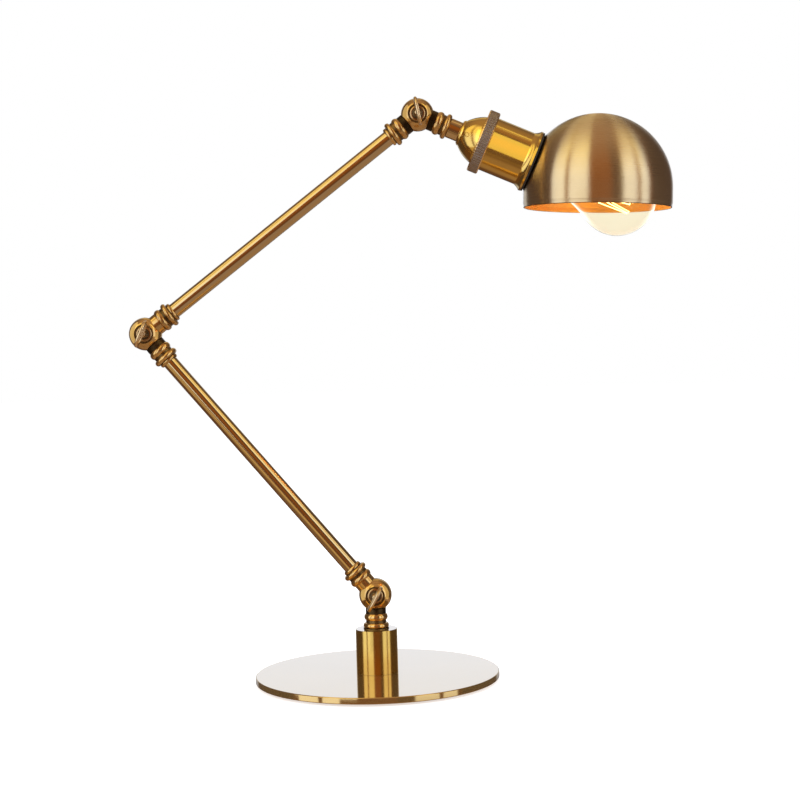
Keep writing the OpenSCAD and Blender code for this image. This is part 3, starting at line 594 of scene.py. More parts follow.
# %% Stem
STEM_R, CAVITY_R, CAVITY_TOP, NIPPLE_HOLE_R = 15.25, 12.25, 34.5, 5.05
BUSH_HEIGHT, BUSH_HOLE_R = 21, 4.4
stem = turned("stem_skin", [
    (CAVITY_R, PLATE_TOP), (STEM_R, PLATE_TOP), (STEM_R, STEM_TOP), (NIPPLE_HOLE_R, STEM_TOP),
    (NIPPLE_HOLE_R, CAVITY_TOP), (CAVITY_R, CAVITY_TOP), (CAVITY_R, PLATE_TOP),
])
bpy.ops.object.select_all(action="DESELECT")
bpy.ops.mesh.primitive_cylinder_add(vertices=48, radius=BUSH_HOLE_R * MM, depth=12 * MM,
                                    location=(0, 15 * MM, BUSH_HEIGHT * MM), rotation=(math.pi / 2, 0, 0))
combine(stem, bpy.context.object, "DIFFERENCE")
soften(stem, 0.25, 50)
map_turning(stem)
smooth(stem)
finish_piece(stem, "base", "stem_brass", ["base_stem"], stem_brass, plate_brass)
paint(stem, lambda face: face.normal.z > 0.9 and face.center.z > (STEM_TOP - 0.1) * MM)

# %% Stem collar and bush
COLLAR_R, COLLAR_TOP = 9.3, STEM_TOP + 0.6
collar = turned("stem_collar_skin", [
    (NIPPLE_HOLE_R, STEM_TOP), (COLLAR_R, STEM_TOP), (COLLAR_R, COLLAR_TOP), (NIPPLE_HOLE_R, COLLAR_TOP),
    (NIPPLE_HOLE_R, STEM_TOP),
])
soften(collar, 0.12)
smooth(collar)
finish_piece(collar, "base", "cast_brass", ["stem_collar"], nut_metal)

BUSH_R, BUSH_BORE, BUSH_START, BUSH_FLANGE, BUSH_END = 4.3, 3.25, 11.3, 14.2, 16.9
bush = turned("bush_skin", [
    (BUSH_BORE, BUSH_START), (BUSH_R, BUSH_START), (BUSH_R, BUSH_FLANGE), (5.8, BUSH_FLANGE),
    *arc((5.8, 15.4), (5.2, BUSH_END), 0.3, 5), (3.7, BUSH_END), (BUSH_BORE, 16.5), (BUSH_BORE, BUSH_START),
], steps=64)
place(bush, Matrix.Translation((0, 0, BUSH_HEIGHT * MM)) @ ALONG_Y)
smooth(bush)
finish_piece(bush, "base", "black_rubber", ["cable_bush"], rubber)

# %% [markdown]
# ## Knuckles
# A knuckle is a cast ball that is sawn through the middle. The half with the recess turns on the other half,
# and each half has its own neck with two beads. The half ball is turned about the pivot and the neck about
# the arm, so two spun shapes are joined by a Boolean. Where a neck would run into the other half, it is first
# cut by a slightly larger half ball.
#
# Faces and points of two shapes that coincide can upset a Boolean. So that cut lies a little inside the
# ball's face, and the neck is turned by half a step of its spin. The Exact solver still left faces out now
# and then, so the Manifold solver is used. Each kind is modelled once, along Z, and copied three times.

# %% Outlines of the half balls and the neck
FACE = SPLIT / 2
BOSS_R, HOLLOW_R, HOLLOW_DEPTH = 4.6, 9, 5.3
RECESS_R, RECESS_EDGE, RECESS_FLOOR = 6.75, 7.0, 8.5
CLEAR_HOLE_R, TAPPED_HOLE_R, TAPPED_END = 2.1, 2.05, 7
NECK_START, NECK_BORE, SOCKET_R = 7, 4.2, 5.55
BEAD_START, BEAD_END, LIP_START = 13.8, 18.6, 20.3
edge_height = math.sqrt(BALL_R**2 - RECESS_EDGE**2)
face_angle = math.degrees(math.asin(FACE / BALL_R))
edge_angle = math.degrees(math.asin(edge_height / BALL_R))
socket_floor = NECK_END - SOCKET
front_outline = [
    (CLEAR_HOLE_R, -FACE), (BOSS_R, -FACE), (BOSS_R, -HOLLOW_DEPTH), (HOLLOW_R, -HOLLOW_DEPTH),
    (HOLLOW_R, -FACE), *sweep((0, 0), BALL_R, -face_angle, -edge_angle, 24),
    (RECESS_R, -edge_height + 0.2), (RECESS_R, -RECESS_FLOOR), (CLEAR_HOLE_R, -RECESS_FLOOR),
    (CLEAR_HOLE_R, -FACE),
]
rear_outline = [
    (0, TAPPED_END), (TAPPED_HOLE_R, TAPPED_END), (TAPPED_HOLE_R, FACE), (BOSS_R, FACE),
    (BOSS_R, HOLLOW_DEPTH), (HOLLOW_R, HOLLOW_DEPTH), (HOLLOW_R, FACE),
    *sweep((0, 0), BALL_R, face_angle, 90, 32)[:-1], (0, BALL_R),
]
neck_outline = [
    (NECK_BORE, NECK_START), (NECK_R, NECK_START), *arc((NECK_R, BEAD_START), (NECK_R, BEAD_END), 1.2),
    *arc((NECK_R, LIP_START), (NECK_R + 0.5, NECK_END), 1.7), (SOCKET_R, NECK_END), (SOCKET_R, socket_floor),
    (NECK_BORE, socket_floor), (NECK_BORE, NECK_START),
]
print("outlines:", len(front_outline), len(rear_outline), len(neck_outline), "points")

# %% [markdown]
# Ball and neck are parted again where they meet, into two pieces. In the photograph the balls mirror lights
# that the necks don't, and lights can only be linked to whole pieces.

# %% Choosing by a test


def select_where(piece, kind, chosen):
    """Selects a piece's "vertices" or "polygons" that pass a test, and stays in edit mode."""
    activate(piece)
    bpy.ops.object.mode_set(mode="EDIT")
    bpy.ops.mesh.select_all(action="DESELECT")
    bpy.ops.object.mode_set(mode="OBJECT")
    for element in getattr(piece.data, kind):
        element.select = chosen(element)
    bpy.ops.object.mode_set(mode="EDIT")


# %% One knuckle half of each kind
HALF_STEP = Matrix.Rotation(math.pi / SIDES, 4, "Z")
CUTTER_GROWTH, CUT_INSIDE, OFF_BALL = 0.35, 0.03, 0.01


def knuckle(name, ball_outline, side):
    """A half ball and its neck along Z, as two pieces. side is -1 for the half that faces the viewer."""
    ball = place(turned(name, ball_outline), ALONG_Y)
    neck = place(turned(name + "_neck", neck_outline), HALF_STEP)
    bpy.ops.object.select_all(action="DESELECT")
    bpy.ops.mesh.primitive_uv_sphere_add(segments=96, ring_count=48, radius=(BALL_R + CUTTER_GROWTH) * MM)
    cutter = bpy.context.object
    bpy.ops.object.mode_set(mode="EDIT")
    bpy.ops.mesh.bisect(plane_co=(0, side * (FACE + CUT_INSIDE) * MM, 0), plane_no=(0, -side, 0),
                        use_fill=True, clear_inner=True)
    bpy.ops.object.mode_set(mode="OBJECT")
    combine(neck, cutter, "DIFFERENCE")
    combine(ball, neck, "UNION")
    select_where(ball, "polygons", lambda face: face.center.length > (BALL_R + OFF_BALL) * MM)
    bpy.ops.mesh.separate(type="SELECTED")
    bpy.ops.object.mode_set(mode="OBJECT")
    neck = next(piece for piece in bpy.context.selected_objects if piece != ball)
    for piece in (ball, neck):
        smooth(piece)
    return ball, neck


front_half = knuckle("knuckle_front", front_outline, -1)
rear_half = knuckle("knuckle_rear", rear_outline, 1)
print("knuckle halves:", [len(piece.data.polygons) for piece in front_half + rear_half])

# %% Copies and their deposit


def copied(piece, name):
    """A copy with its own mesh."""
    twin = piece.copy()
    twin.data = piece.data.copy()
    bpy.context.scene.collection.objects.link(twin)
    return named(twin, name)


def on_clean_neck(point):
    """Dust and painted shade in the recess and in the groove between the beads."""
    in_recess = point.y < 0.5 - RECESS_FLOOR and math.hypot(point.x, point.z) < RECESS_R + 0.15
    in_groove = BEAD_END < point.z < LIP_START
    return 0.6 if in_recess else 0.8 if in_groove else 0.0


def on_shaded_neck(point):
    """The same, and painted shade all round the neck below its first bead."""
    on_neck = math.hypot(point.x, point.y) < NECK_R + 0.2 and BALL_R - 2 < point.z < BEAD_START
    return 0.95 if on_neck else on_clean_neck(point)


# %% Knuckles in their places
KNUCKLES = [
    (rear_half, "base_knuckle", "base", "base", -90, on_shaded_neck),
    (front_half, "lower_knuckle", "lower_arm", "base", LOWER_ANGLE, on_clean_neck),
    (rear_half, "elbow_knuckle", "lower_arm", "elbow", LOWER_ANGLE + 180, on_shaded_neck),
    (front_half, "upper_knuckle", "upper_arm", "elbow", UPPER_ANGLE, on_clean_neck),
    (rear_half, "head_knuckle", "upper_arm", "head", UPPER_ANGLE + 180, on_shaded_neck),
    (front_half, "holder_knuckle", "head", "head", HEAD_ANGLE, on_shaded_neck),
]
for masters, node, body, pivot, angle, deposit_and_shade_at in KNUCKLES:
    for master, part in zip(masters, ("_ball", "_neck")):
        piece = copied(master, node + part)
        settle_deposit_and_shade(piece, deposit_and_shade_at)
        place(piece, at(pivot, angle))
        finish_piece(piece, body, "cast_brass", [node], cast_brass)
for master in front_half + rear_half:
    bpy.data.objects.remove(master)

# %% [markdown]
# ## Thumbscrews
# Each ball is clamped by a screw with a round collar and a loop of thick wire to turn it by. The shank,
# collar and neck are turned. The loop starts as a torus whose two halves are pulled apart, which leaves the
# straight sides of the bent wire. A washer lies under each collar, in the recess of the ball.

# %% Joining pieces


def join(pieces):
    """Joins several pieces into the first."""
    bpy.ops.object.select_all(action="DESELECT")
    for piece in pieces:
        piece.select_set(True)
    bpy.context.view_layer.objects.active = pieces[0]
    bpy.ops.object.join()
    return pieces[0]


# %% Thumbscrew
WASHER_TOP = 9.3
SCREW_COLLAR_R, SCREW_COLLAR_END, SCREW_NECK_R, SCREW_NECK_END = 4, -12.4, 2.5, -15.4
LOOP_CENTRE, LOOP_BEND, LOOP_STRAIGHT, WIRE_R = -22.95, 5.95, 3.0, 1.3
screw = turned("thumbscrew", [
    (0, 6), (1.6, 6), (2, 5.6), (2, -WASHER_TOP), (SCREW_COLLAR_R, -WASHER_TOP), (SCREW_COLLAR_R, -11.9),
    (3.6, -12.3), (2.9, SCREW_COLLAR_END), (SCREW_NECK_R, -13.2), (SCREW_NECK_R, SCREW_NECK_END),
    (1.9, -16.6), (0, -17),
], steps=48)
place(screw, ALONG_Y)
bpy.ops.object.select_all(action="DESELECT")
bpy.ops.mesh.primitive_torus_add(major_radius=LOOP_BEND * MM, minor_radius=WIRE_R * MM, major_segments=64,
                                 minor_segments=20, location=(0, LOOP_CENTRE * MM, 0),
                                 rotation=(0, math.pi / 2, 0))
loop = bpy.context.object
bpy.ops.object.transform_apply(location=True, rotation=True, scale=True)
for end in (1, -1):
    select_where(loop, "vertices", lambda vertex: vertex.co.z * end > 1e-5)
    bpy.ops.transform.translate(value=(0, 0, end * LOOP_STRAIGHT * MM))
    bpy.ops.object.mode_set(mode="OBJECT")
screw = join([screw, loop])
soften(screw, 0.12, 40)
smooth(screw)


def on_screw(point):
    """Painted shade and dust on the collar, and a little less on the neck of the screw."""
    from_axis = math.hypot(point.x, point.z)
    if from_axis < SCREW_COLLAR_R + 0.2 and point.y > SCREW_COLLAR_END - 0.2:
        return 0.85
    return 0.45 if from_axis < SCREW_NECK_R + 0.1 and point.y > SCREW_NECK_END + 0.4 else 0.0


settle_deposit_and_shade(screw, on_screw)
print(screw.name, len(screw.data.polygons), "faces")

# %% Washer
washer = turned("face_washer", [
    (CLEAR_HOLE_R, -RECESS_FLOOR), (6, -RECESS_FLOOR),
    *arc((6, -RECESS_FLOOR - 0.1), (4.1, -WASHER_TOP), -0.2, 8), (CLEAR_HOLE_R, -WASHER_TOP),
    (CLEAR_HOLE_R, -RECESS_FLOOR),
], steps=64)
place(washer, ALONG_Y)
smooth(washer)
print(washer.name, len(washer.data.polygons), "faces")

# %% Thumbscrews and washers in their places
SCREWS = [
    ("base", "base_screw", "lower_arm", LOWER_ANGLE),
    ("elbow", "elbow_screw", "upper_arm", UPPER_ANGLE),
    ("head", "head_screw", "head", HEAD_ANGLE),
]
for pivot, body, washer_body, angle in SCREWS:
    piece = place(copied(screw, pivot + "_thumbscrew_skin"), at(pivot, LOOP_ANGLES[pivot]))
    finish_piece(piece, body, "screw_brass", [pivot + "_thumbscrew"], screw_brass)
    piece = place(copied(washer, pivot + "_face_washer_skin"), at(pivot, angle))
    finish_piece(piece, washer_body, "cast_brass", [pivot + "_face_washer"], washer_brass)
for master in (screw, washer):
    bpy.data.objects.remove(master)

# %% [markdown]
# ## Arms
# An arm is a drawn tube that is soldered into the necks of two knuckles, with a small ferrule at each end.
# The tube runs on into the sockets, so its ends don't show.

# %% Tubes and ferrules
TUBE_R, TUBE_BORE = 5.5, 4.5
FERRULE_R, FERRULE_STEP_R, FERRULE_END = 7.2, 6.6, NECK_END + 2.6
tube_end = ARM_LENGTH - socket_floor
other_end = Matrix.Translation((0, 0, ARM_LENGTH * MM)) @ Matrix.Rotation(math.pi, 4, "Y")
for arm, pivot, angle in (("lower", "base", LOWER_ANGLE), ("upper", "elbow", UPPER_ANGLE)):
    tube = turned(arm + "_tube_skin", [
        (TUBE_BORE, socket_floor), (TUBE_R, socket_floor), (TUBE_R, ARM_LENGTH / 2), (TUBE_R, tube_end),
        (TUBE_BORE, tube_end), (TUBE_BORE, socket_floor),
    ], steps=64)
    map_turning(tube)
    place(tube, at(pivot, angle))
    smooth(tube)
    finish_piece(tube, arm + "_arm", "tube_brass", [arm + "_tube"], tube_brass)

    near = turned(arm + "_ferrules_skin", [
        (SOCKET_R, NECK_END), (FERRULE_STEP_R, NECK_END), (FERRULE_STEP_R, NECK_END + 0.5),
        *arc((FERRULE_R - 0.15, NECK_END + 0.55), (FERRULE_R - 0.8, FERRULE_END), 0.35, 6),
        (SOCKET_R, FERRULE_END), (SOCKET_R, NECK_END),
    ], steps=64)
    far = place(copied(near, "far_ferrule"), other_end)
    ferrules = place(join([near, far]), at(pivot, angle))
    smooth(ferrules)
    finish_piece(ferrules, arm + "_arm", "cast_brass", [arm + "_ferrules"], cast_brass)

# %% [markdown]
# ## Lampholder
# From the top knuckle outwards there is a plain coupler, a cap with a small shoulder, a knurled ring, a
# sleeve that flares into a flange, and a black gasket against the shade. All are turned about the head's own
# axis, so one table holds their outlines and one loop makes them.

# %% Coupler, cap, sleeve, gasket and nut
CAP_Z, RING_Z, RING_STEP, RING_END, FLANGE_END, SEAT_Z = 32.8, 47.7, 52.0, 55.7, 89.3, 90.7
FLARE_START, FLARE_END, NUT_START, NUT_END = 83.3, 87.7, 91.7, 96.7
COUPLER_R, CAP_R, SLEEVE_R, FLANGE_R, GASKET_R, SEAT_HOLE_R = 7.2, 17.6, 19.75, 22.6, 22.1, 16.95
SHEET = 1
cap_outer = (arc((7.8, CAP_Z), (9.5, CAP_Z + 2.1), 0.4, 6)
             + arc((9.5, CAP_Z + 2.1), (CAP_R, RING_Z), 1, 16)[1:])
cap_inner = (arc((8.2, CAP_Z + SHEET), (8.5, CAP_Z + 2.7), 0.4, 4)
             + arc((8.7, CAP_Z + 3), (CAP_R - SHEET, RING_Z), 1, 12))
flare = arc((SLEEVE_R, FLARE_START), (FLANGE_R, FLARE_END), -0.35, 8)
flare_inside = arc((SLEEVE_R - SHEET, FLARE_START + 0.5), (FLANGE_R - SHEET, FLARE_END), -0.35, 8)
HOLDER = [
    ("coupler_skin", "holder_coupler", tube_brass, "tube_brass", [
        (NIPPLE_HOLE_R, NECK_END), (COUPLER_R - 0.2, NECK_END), (COUPLER_R, NECK_END + 0.4), (COUPLER_R, 28),
        (COUPLER_R, CAP_Z), (NIPPLE_HOLE_R, CAP_Z), (NIPPLE_HOLE_R, NECK_END)]),
    ("cap_skin", "holder_cap", holder_brass, "holder_brass", [
        (NIPPLE_HOLE_R, CAP_Z), *cap_outer, (CAP_R, RING_STEP), (CAP_R - SHEET, RING_STEP),
        *reversed(cap_inner), (NIPPLE_HOLE_R, CAP_Z + SHEET), (NIPPLE_HOLE_R, CAP_Z)]),
    ("sleeve_skin", "holder_sleeve", holder_brass, "holder_brass", [
        (SLEEVE_R - SHEET, RING_STEP), (SLEEVE_R, RING_STEP), (SLEEVE_R, 68), *flare, (FLANGE_R, FLANGE_END),
        (FLANGE_R - SHEET, FLANGE_END), *reversed(flare_inside), (SLEEVE_R - SHEET, RING_STEP)]),
    ("gasket_skin", "holder_gasket", rubber, "black_rubber", [
        (SEAT_HOLE_R, FLANGE_END), (GASKET_R, FLANGE_END),
        *arc((GASKET_R, FLANGE_END), (GASKET_R, SEAT_Z), 0.2, 4)[1:], (SEAT_HOLE_R, SEAT_Z),
        (SEAT_HOLE_R, FLANGE_END)]),
    ("shade_nut_skin", "shade_nut", nut_metal, "nut_metal", [
        (SEAT_HOLE_R, NUT_START), (18.7, NUT_START), (18.7, NUT_END - 0.5), (18.2, NUT_END),
        (SEAT_HOLE_R, NUT_END), (SEAT_HOLE_R, NUT_START)]),
]
for name, node, material, slot, outline in HOLDER:
    piece = turned(name, outline)
    soften(piece, 0.15, 40)
    map_turning(piece)
    place(piece, HEAD_FRAME)
    smooth(piece, 25)
    finish_piece(piece, "head", slot, [node], material)

# %% [markdown]
# The ring is knurled with straight grooves so that fingers can turn it. It is turned smooth first, with one
# column of points for each ridge and each groove. Every second column of the outer skin is then drawn in.

# %% Knurled ring
KNURLS, KNURL_DEPTH, RING_R, RING_CHAMFER = 72, 0.3, 23.3, 0.8
ring = turned("knurled_ring_skin", [
    (CAP_R + 0.05, RING_Z), (RING_R - RING_CHAMFER, RING_Z), (RING_R, RING_Z + RING_CHAMFER),
    (RING_R, RING_END - RING_CHAMFER), (RING_R - RING_CHAMFER, RING_END), (SLEEVE_R + 0.05, RING_END),
    (SLEEVE_R + 0.05, RING_STEP), (CAP_R + 0.05, RING_STEP), (CAP_R + 0.05, RING_Z),
], steps=2 * KNURLS)


def in_knurl(vertex):
    """Whether a point of the outer skin is in a column that becomes a groove."""
    column = round(math.atan2(vertex.co.y, vertex.co.x) * KNURLS / math.pi)
    return column % 2 == 1 and vertex.co.xy.length > (RING_R - 0.1) * MM


select_where(ring, "vertices", in_knurl)
drawn_in = 1 - KNURL_DEPTH / RING_R
bpy.ops.transform.resize(value=(drawn_in, drawn_in, 1), center_override=(0, 0, 0))
bpy.ops.object.mode_set(mode="OBJECT")
print("knurl radii:", sorted({round(v.co.xy.length / MM, 2) for v in ring.data.vertices}))
map_turning(ring)
place(ring, HEAD_FRAME)
smooth(ring, 15)
finish_piece(ring, "head", "ring_metal", ["knurled_ring"], ring_metal, ring_edge_highlight)

# %% Painted highlights on the edges of the ring
head_axis = towards(HEAD_ANGLE)


def on_chamfer(face):
    """Whether a face is one of the ring's outer chamfers."""
    from_axis = (face.center / MM - head_pivot).cross(head_axis).length
    return from_axis > SLEEVE_R + 0.75 and 0.5 < abs(face.normal.dot(head_axis)) < 0.9


# The chamfers take the bright brass that paints their highlight.
paint(ring, on_chamfer)
print("highlighted faces:", sum(face.material_index for face in ring.data.polygons))

# %% [markdown]
# ## Shade
# The shade is a hemisphere with a short straight skirt, spun from one thin sheet, with a flat seat pressed in
# where the lampholder clamps it. Only the outer skin is turned. A bisect cuts it at the seat and fills the
# cut with a flat face, an inset makes the hole, and Solidify gives the sheet its thickness, its rim and a
# second material inside.

# %% Dome shade
SHADE_R, SKIRT = 54, 13.95
RIM_ROLL, RIM_HEIGHT = 0.5, 3.5
SHADE_Z, SHADE_ANGLE = 141.0, 68.25
seat_distance = SHADE_Z - SEAT_Z
seat_r = math.sqrt(SHADE_R**2 - seat_distance**2)
rolled_rim = arc((SHADE_R - RIM_ROLL, SKIRT), (SHADE_R, SKIRT - RIM_HEIGHT), RIM_ROLL / 4, 6)
dome = sweep((0, 0), SHADE_R, 0, -90, 56)[:-1] + [(0, -SHADE_R)]
shade = turned("shade_skin", rolled_rim + dome, steps=160)
lean = math.radians(SHADE_ANGLE)
seat_normal = Vector((-math.sin(lean), 0, math.cos(lean)))
activate(shade)
bpy.ops.object.mode_set(mode="EDIT")
bpy.ops.mesh.normals_make_consistent(inside=False)
bpy.ops.mesh.bisect(plane_co=-seat_distance * MM * seat_normal, plane_no=seat_normal, use_fill=True,
                    clear_inner=True)
bpy.ops.object.mode_set(mode="OBJECT")
select_where(shade, "polygons", lambda face: len(face.vertices) > 8)
bpy.ops.mesh.select_mode(type="FACE")
bpy.ops.mesh.inset(thickness=(seat_r - SEAT_HOLE_R) * MM)
bpy.ops.mesh.delete(type="FACE")
bpy.ops.mesh.select_mode(type="VERT")
bpy.ops.mesh.select_all(action="SELECT")
bpy.ops.mesh.normals_make_consistent(inside=False)
bpy.ops.object.mode_set(mode="OBJECT")
print("seat radius", round(seat_r, 2), "mm,", len(shade.data.polygons), "faces")

# %% Wall, rim and place of the shade
shade.data.materials.clear()
shade.data.materials.append(shade_brass)
shade.data.materials.append(shade_inside_warm_lit)
apply_modifier(shade, "SOLIDIFY", thickness=SHEET * MM, offset=-1, use_even_offset=True, material_offset=1,
               material_offset_rim=0)
apply_modifier(shade, "BEVEL", width=0.42 * MM, segments=4, limit_method="ANGLE",
               angle_limit=math.radians(60))
map_turning(shade)


def on_rim(point):
    """A dark line painted along the inner edge of the rim."""
    return 0.9 if point.z > SKIRT - 0.45 and point.xy.length > SHADE_R - 0.93 else 0.0


settle_deposit_and_shade(shade, on_rim)
place(shade, HEAD_FRAME @ Matrix.Translation((0, 0, SHADE_Z * MM)) @ Matrix.Rotation(lean, 4, "Y"))
smooth(shade, 15)
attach(shade, "head")
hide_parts("dome_shade")

# %% [markdown]
# ## Bulb
# The bulb is a round globe on a long neck that runs into the screw cap. The outline goes up the outside and
# comes back a wall's thickness further in, so the spun glass is hollow, as it is in a real bulb.

# %% Hiding from the camera or from light


def hide_from(thing, *kinds):
    """Keeps a piece or a lamp out of the view of the camera or of some kinds of light."""
    for kind in kinds:
        setattr(thing, "visible_" + kind, False)


# %% Bulb glass
BULB_R, GLASS_WALL, BULB_NECK_R = 28.2, 0.4, 11.7
GLASS_Z, GLOBE_Z, CURVE_Z = 91.6, 156.6, 98.6
curve_r = (BULB_NECK_R**2 + (GLOBE_Z - CURVE_Z)**2 - BULB_R**2) / (2 * (BULB_R - BULB_NECK_R))
curve_x = BULB_NECK_R + curve_r
meet = math.degrees(math.atan2(GLOBE_Z - CURVE_Z, -curve_x))


def glass_outline(inset):
    """The outline of the glass, or the same a little further in."""
    return ([(BULB_NECK_R - inset, GLASS_Z)]
            + sweep((curve_x, CURVE_Z), curve_r + inset, 180, meet, 20)
            + sweep((0, GLOBE_Z), BULB_R - inset, meet - 180, 90, 48)[1:-1]
            + [(0, GLOBE_Z + BULB_R - inset)])


outside, inside = glass_outline(0), glass_outline(GLASS_WALL)
glass = turned("bulb_glass_skin", outside + inside[::-1] + outside[:1])
place(glass, HEAD_FRAME)
smooth(glass, 40)
hide_from(glass, "shadow")
finish_piece(glass, "bulb", "clear_glass", ["bulb_glass"], clear_glass)

# %% [markdown]
# ## Pieces that keep their CAD shape
# Nuts, washers, leads, contacts and the inside of the bulb are right as they are. They only get their finish.

# %% Finishes of the CAD nodes
CAD_FINISHES = {
    pad_foam: ["base_pad"],
    steel: ["stem_foot", "base_bolt", "base_washer", "stem_nipple", "stem_nut", "holder_nipple", "holder_nut",
            "bulb_supports"],
    lead_cover: ["base_lead", "lower_lead", "upper_lead", "head_lead"],
    fibre: ["base_friction_washer", "elbow_friction_washer", "head_friction_washer"],
    core_plastic: ["holder_core", "bulb_insulator"],
    contact_brass: ["screw_shell", "centre_contact", "terminal_screws", "bulb_cap", "bulb_tip"],
    clear_glass: ["bulb_mount"],
    glowing_wire: ["bulb_filament"],
}
for material, names in CAD_FINISHES.items():
    for name in names:
        mesh = nodes[name].data
        mesh.materials.clear()
        mesh.materials.append(material)
print("CAD nodes with a finish:", sum(len(names) for names in CAD_FINISHES.values()))

# %% [markdown]
# ## Floor, room and lamps
# The lamp stands on a plain white floor in white surroundings. Brass shows little of its own colour: it shows
# the room. In the photograph it mirrors a dim brown room with two tall soft lamps to the left and the right
# of the camera, each with a dark bar in its middle. Such a room could be built from cards and lamps. Here one
# large ball stands for it, which only reflections see, with the lamps drawn on its inside by their direction.
# A window in it lets the polished plate mirror the white behind the lamp. Real lamps give the soft light.

# %% Floor
FLOOR_COLOUR, FLOOR_LIFT = (0.92, 0.92, 0.92, 1), 0.6
bpy.ops.object.select_all(action="DESELECT")
bpy.ops.mesh.primitive_circle_add(vertices=128, radius=6, fill_type="NGON", location=(0, 0, 0))
floor = named(bpy.context.object, "floor")
hide_from(floor, "glossy")


def seen(tree):
    """1 where the camera looks, straight or through glass or in a mirror, and 0 for the light's own paths."""
    rays = add_node(tree, "ShaderNodeLightPath").outputs
    straight = calc("ADD", rays["Is Camera Ray"], rays["Is Glossy Ray"])
    return calc("ADD", straight, rays["Is Transmission Ray"], clamp=True)


floor_material, tree, shader = new_material("White floor")
feed(shader, Base_Color=FLOOR_COLOUR, Roughness=0.9, Specular_IOR_Level=0.0)
lift = feed(add_node(tree, "ShaderNodeEmission"), Strength=calc("MULTIPLY", seen(tree), FLOOR_LIFT))
both = add_node(tree, "ShaderNodeAddShader")
give(both.inputs[0], shader.outputs[0])
give(both.inputs[1], lift.outputs[0])
feed(tree.nodes["Material Output"], Surface=both.outputs[0])
floor.data.materials.append(floor_material)
print("floor:", round(floor.dimensions.x, 1), "m across")

# %% World
SKY_LEVEL = 0.55
world = bpy.data.worlds.new("White surroundings")
bpy.context.scene.world = world
world.use_nodes = True
tree = world.node_tree
plain = feed(tree.nodes["Background"], Color=(1, 1, 1, 1), Strength=SKY_LEVEL)
white = feed(add_node(tree, "ShaderNodeBackground"), Color=(1, 1, 1, 1), Strength=1.0)
choice = add_node(tree, "ShaderNodeMixShader")
for socket, value in zip(choice.inputs, (seen(tree), plain.outputs[0], white.outputs[0])):
    give(socket, value)
feed(tree.nodes["World Output"], Surface=choice.outputs[0])
print("world:", world.name)

# %% Room that the brass mirrors
bpy.ops.object.select_all(action="DESELECT")
bpy.ops.mesh.primitive_uv_sphere_add(segments=96, ring_count=48, radius=4, location=(0, 0, 0.2))
room = named(bpy.context.object, "mirrored_room")
hide_from(room, "camera", "diffuse", "transmission", "volume_scatter", "shadow")
room_material, tree, shader = new_material("Mirrored room")
room_material.cycles.emission_sampling = "NONE"
tree.nodes.remove(shader)
x, y, z = feed(add_node(tree, "ShaderNodeSeparateXYZ"), Vector=place_in(tree)).outputs
flat = calc("SQRT", calc("ADD", calc("MULTIPLY", x, x), calc("MULTIPLY", y, y)))
azimuth = calc("DEGREES", calc("ARCTAN2", x, calc("MULTIPLY", y, -1.0)))
height = calc("DEGREES", calc("ARCTAN2", z, flat))
print("room:", room.name)

# %% [markdown]
# The walls, the room's floor and its ceiling are blends of brown tones over the two angles of a direction:
# azimuth, to the right of the camera, and height above level, both in degrees.

# %% Walls, floor and ceiling of the room


def between(value, low, high, soft):
    """1 between two angles, with soft ends."""
    risen = ramp(value, low - soft, low + soft)
    return calc("MULTIPLY", risen, ramp(value, high - soft, high + soft, 1.0, 0.0))


WALL_COLOUR, LOW_WALL_COLOUR = (0.34, 0.12, 0.03, 1), (0.18, 0.08, 0.04, 1)
DARK_WALL_COLOUR, SIDE_COLOUR = (0.12, 0.07, 0.045, 1), (0.1, 0.072, 0.06, 1)
LEFT_GROUND_COLOUR, GROUND_COLOUR = (0.15, 0.08, 0.05, 1), (0.36, 0.28, 0.25, 1)
NEAR_GROUND_COLOUR, CEILING_COLOUR = (0.4, 0.28, 0.2, 1), (0.48, 0.33, 0.22, 1)
aside = calc("ABSOLUTE", azimuth)
colour = blend_colours(ramp(height, -12, 15), LOW_WALL_COLOUR, WALL_COLOUR)
colour = blend_colours(between(azimuth, 18, 36, 3), colour, DARK_WALL_COLOUR)
colour = blend_colours(ramp(aside, 78, 88), colour, SIDE_COLOUR)
ground = blend_colours(ramp(azimuth, -20, 10), LEFT_GROUND_COLOUR, GROUND_COLOUR)
ground = blend_colours(ramp(height, -55, -35), NEAR_GROUND_COLOUR, ground)
colour = blend_colours(ramp(height, -26, -15, 1.0, 0.0), colour, ground)
colour = blend_colours(ramp(height, 25, 80), colour, CEILING_COLOUR)
print("room: walls, floor and ceiling")

# %% [markdown]
# Each tall lamp is a lit field with a dark bar in it. The fields lean together a little higher up. The left
# one has a dark corner at its foot, and the right one's top is cut. Two fainter fields stand behind the lamp.

# %% Tall soft lamps of the room
LAMP_COLOUR, LAMP_TOP_COLOUR = (1.3, 1.42, 1.62, 1), (1.42, 1.25, 0.62, 1)
LAMP_FOOT_COLOUR = (0.65, 0.49, 0.27, 1)
LEAN, REAR_LEVEL = 0.92, 0.4
lean_azimuth = calc("MULTIPLY", azimuth, ramp(height, 20, 50, 1.0, LEAN))
lamp_tone = blend_colours(ramp(height, 16, 46), LAMP_COLOUR, LAMP_TOP_COLOUR)
lamp_tone = blend_colours(ramp(height, -20, -16), LAMP_FOOT_COLOUR, lamp_tone)


def field(left_end, right_end, low, high, soft=1.5, soft_up=8.0):
    """1 in a field of the room that is bounded by two azimuths and two heights."""
    across = between(lean_azimuth, left_end, right_end, soft)
    return calc("MULTIPLY", across, between(height, low, high, soft_up))


def without(mask, hole):
    return calc("MULTIPLY", mask, calc("SUBTRACT", 1.0, hole))


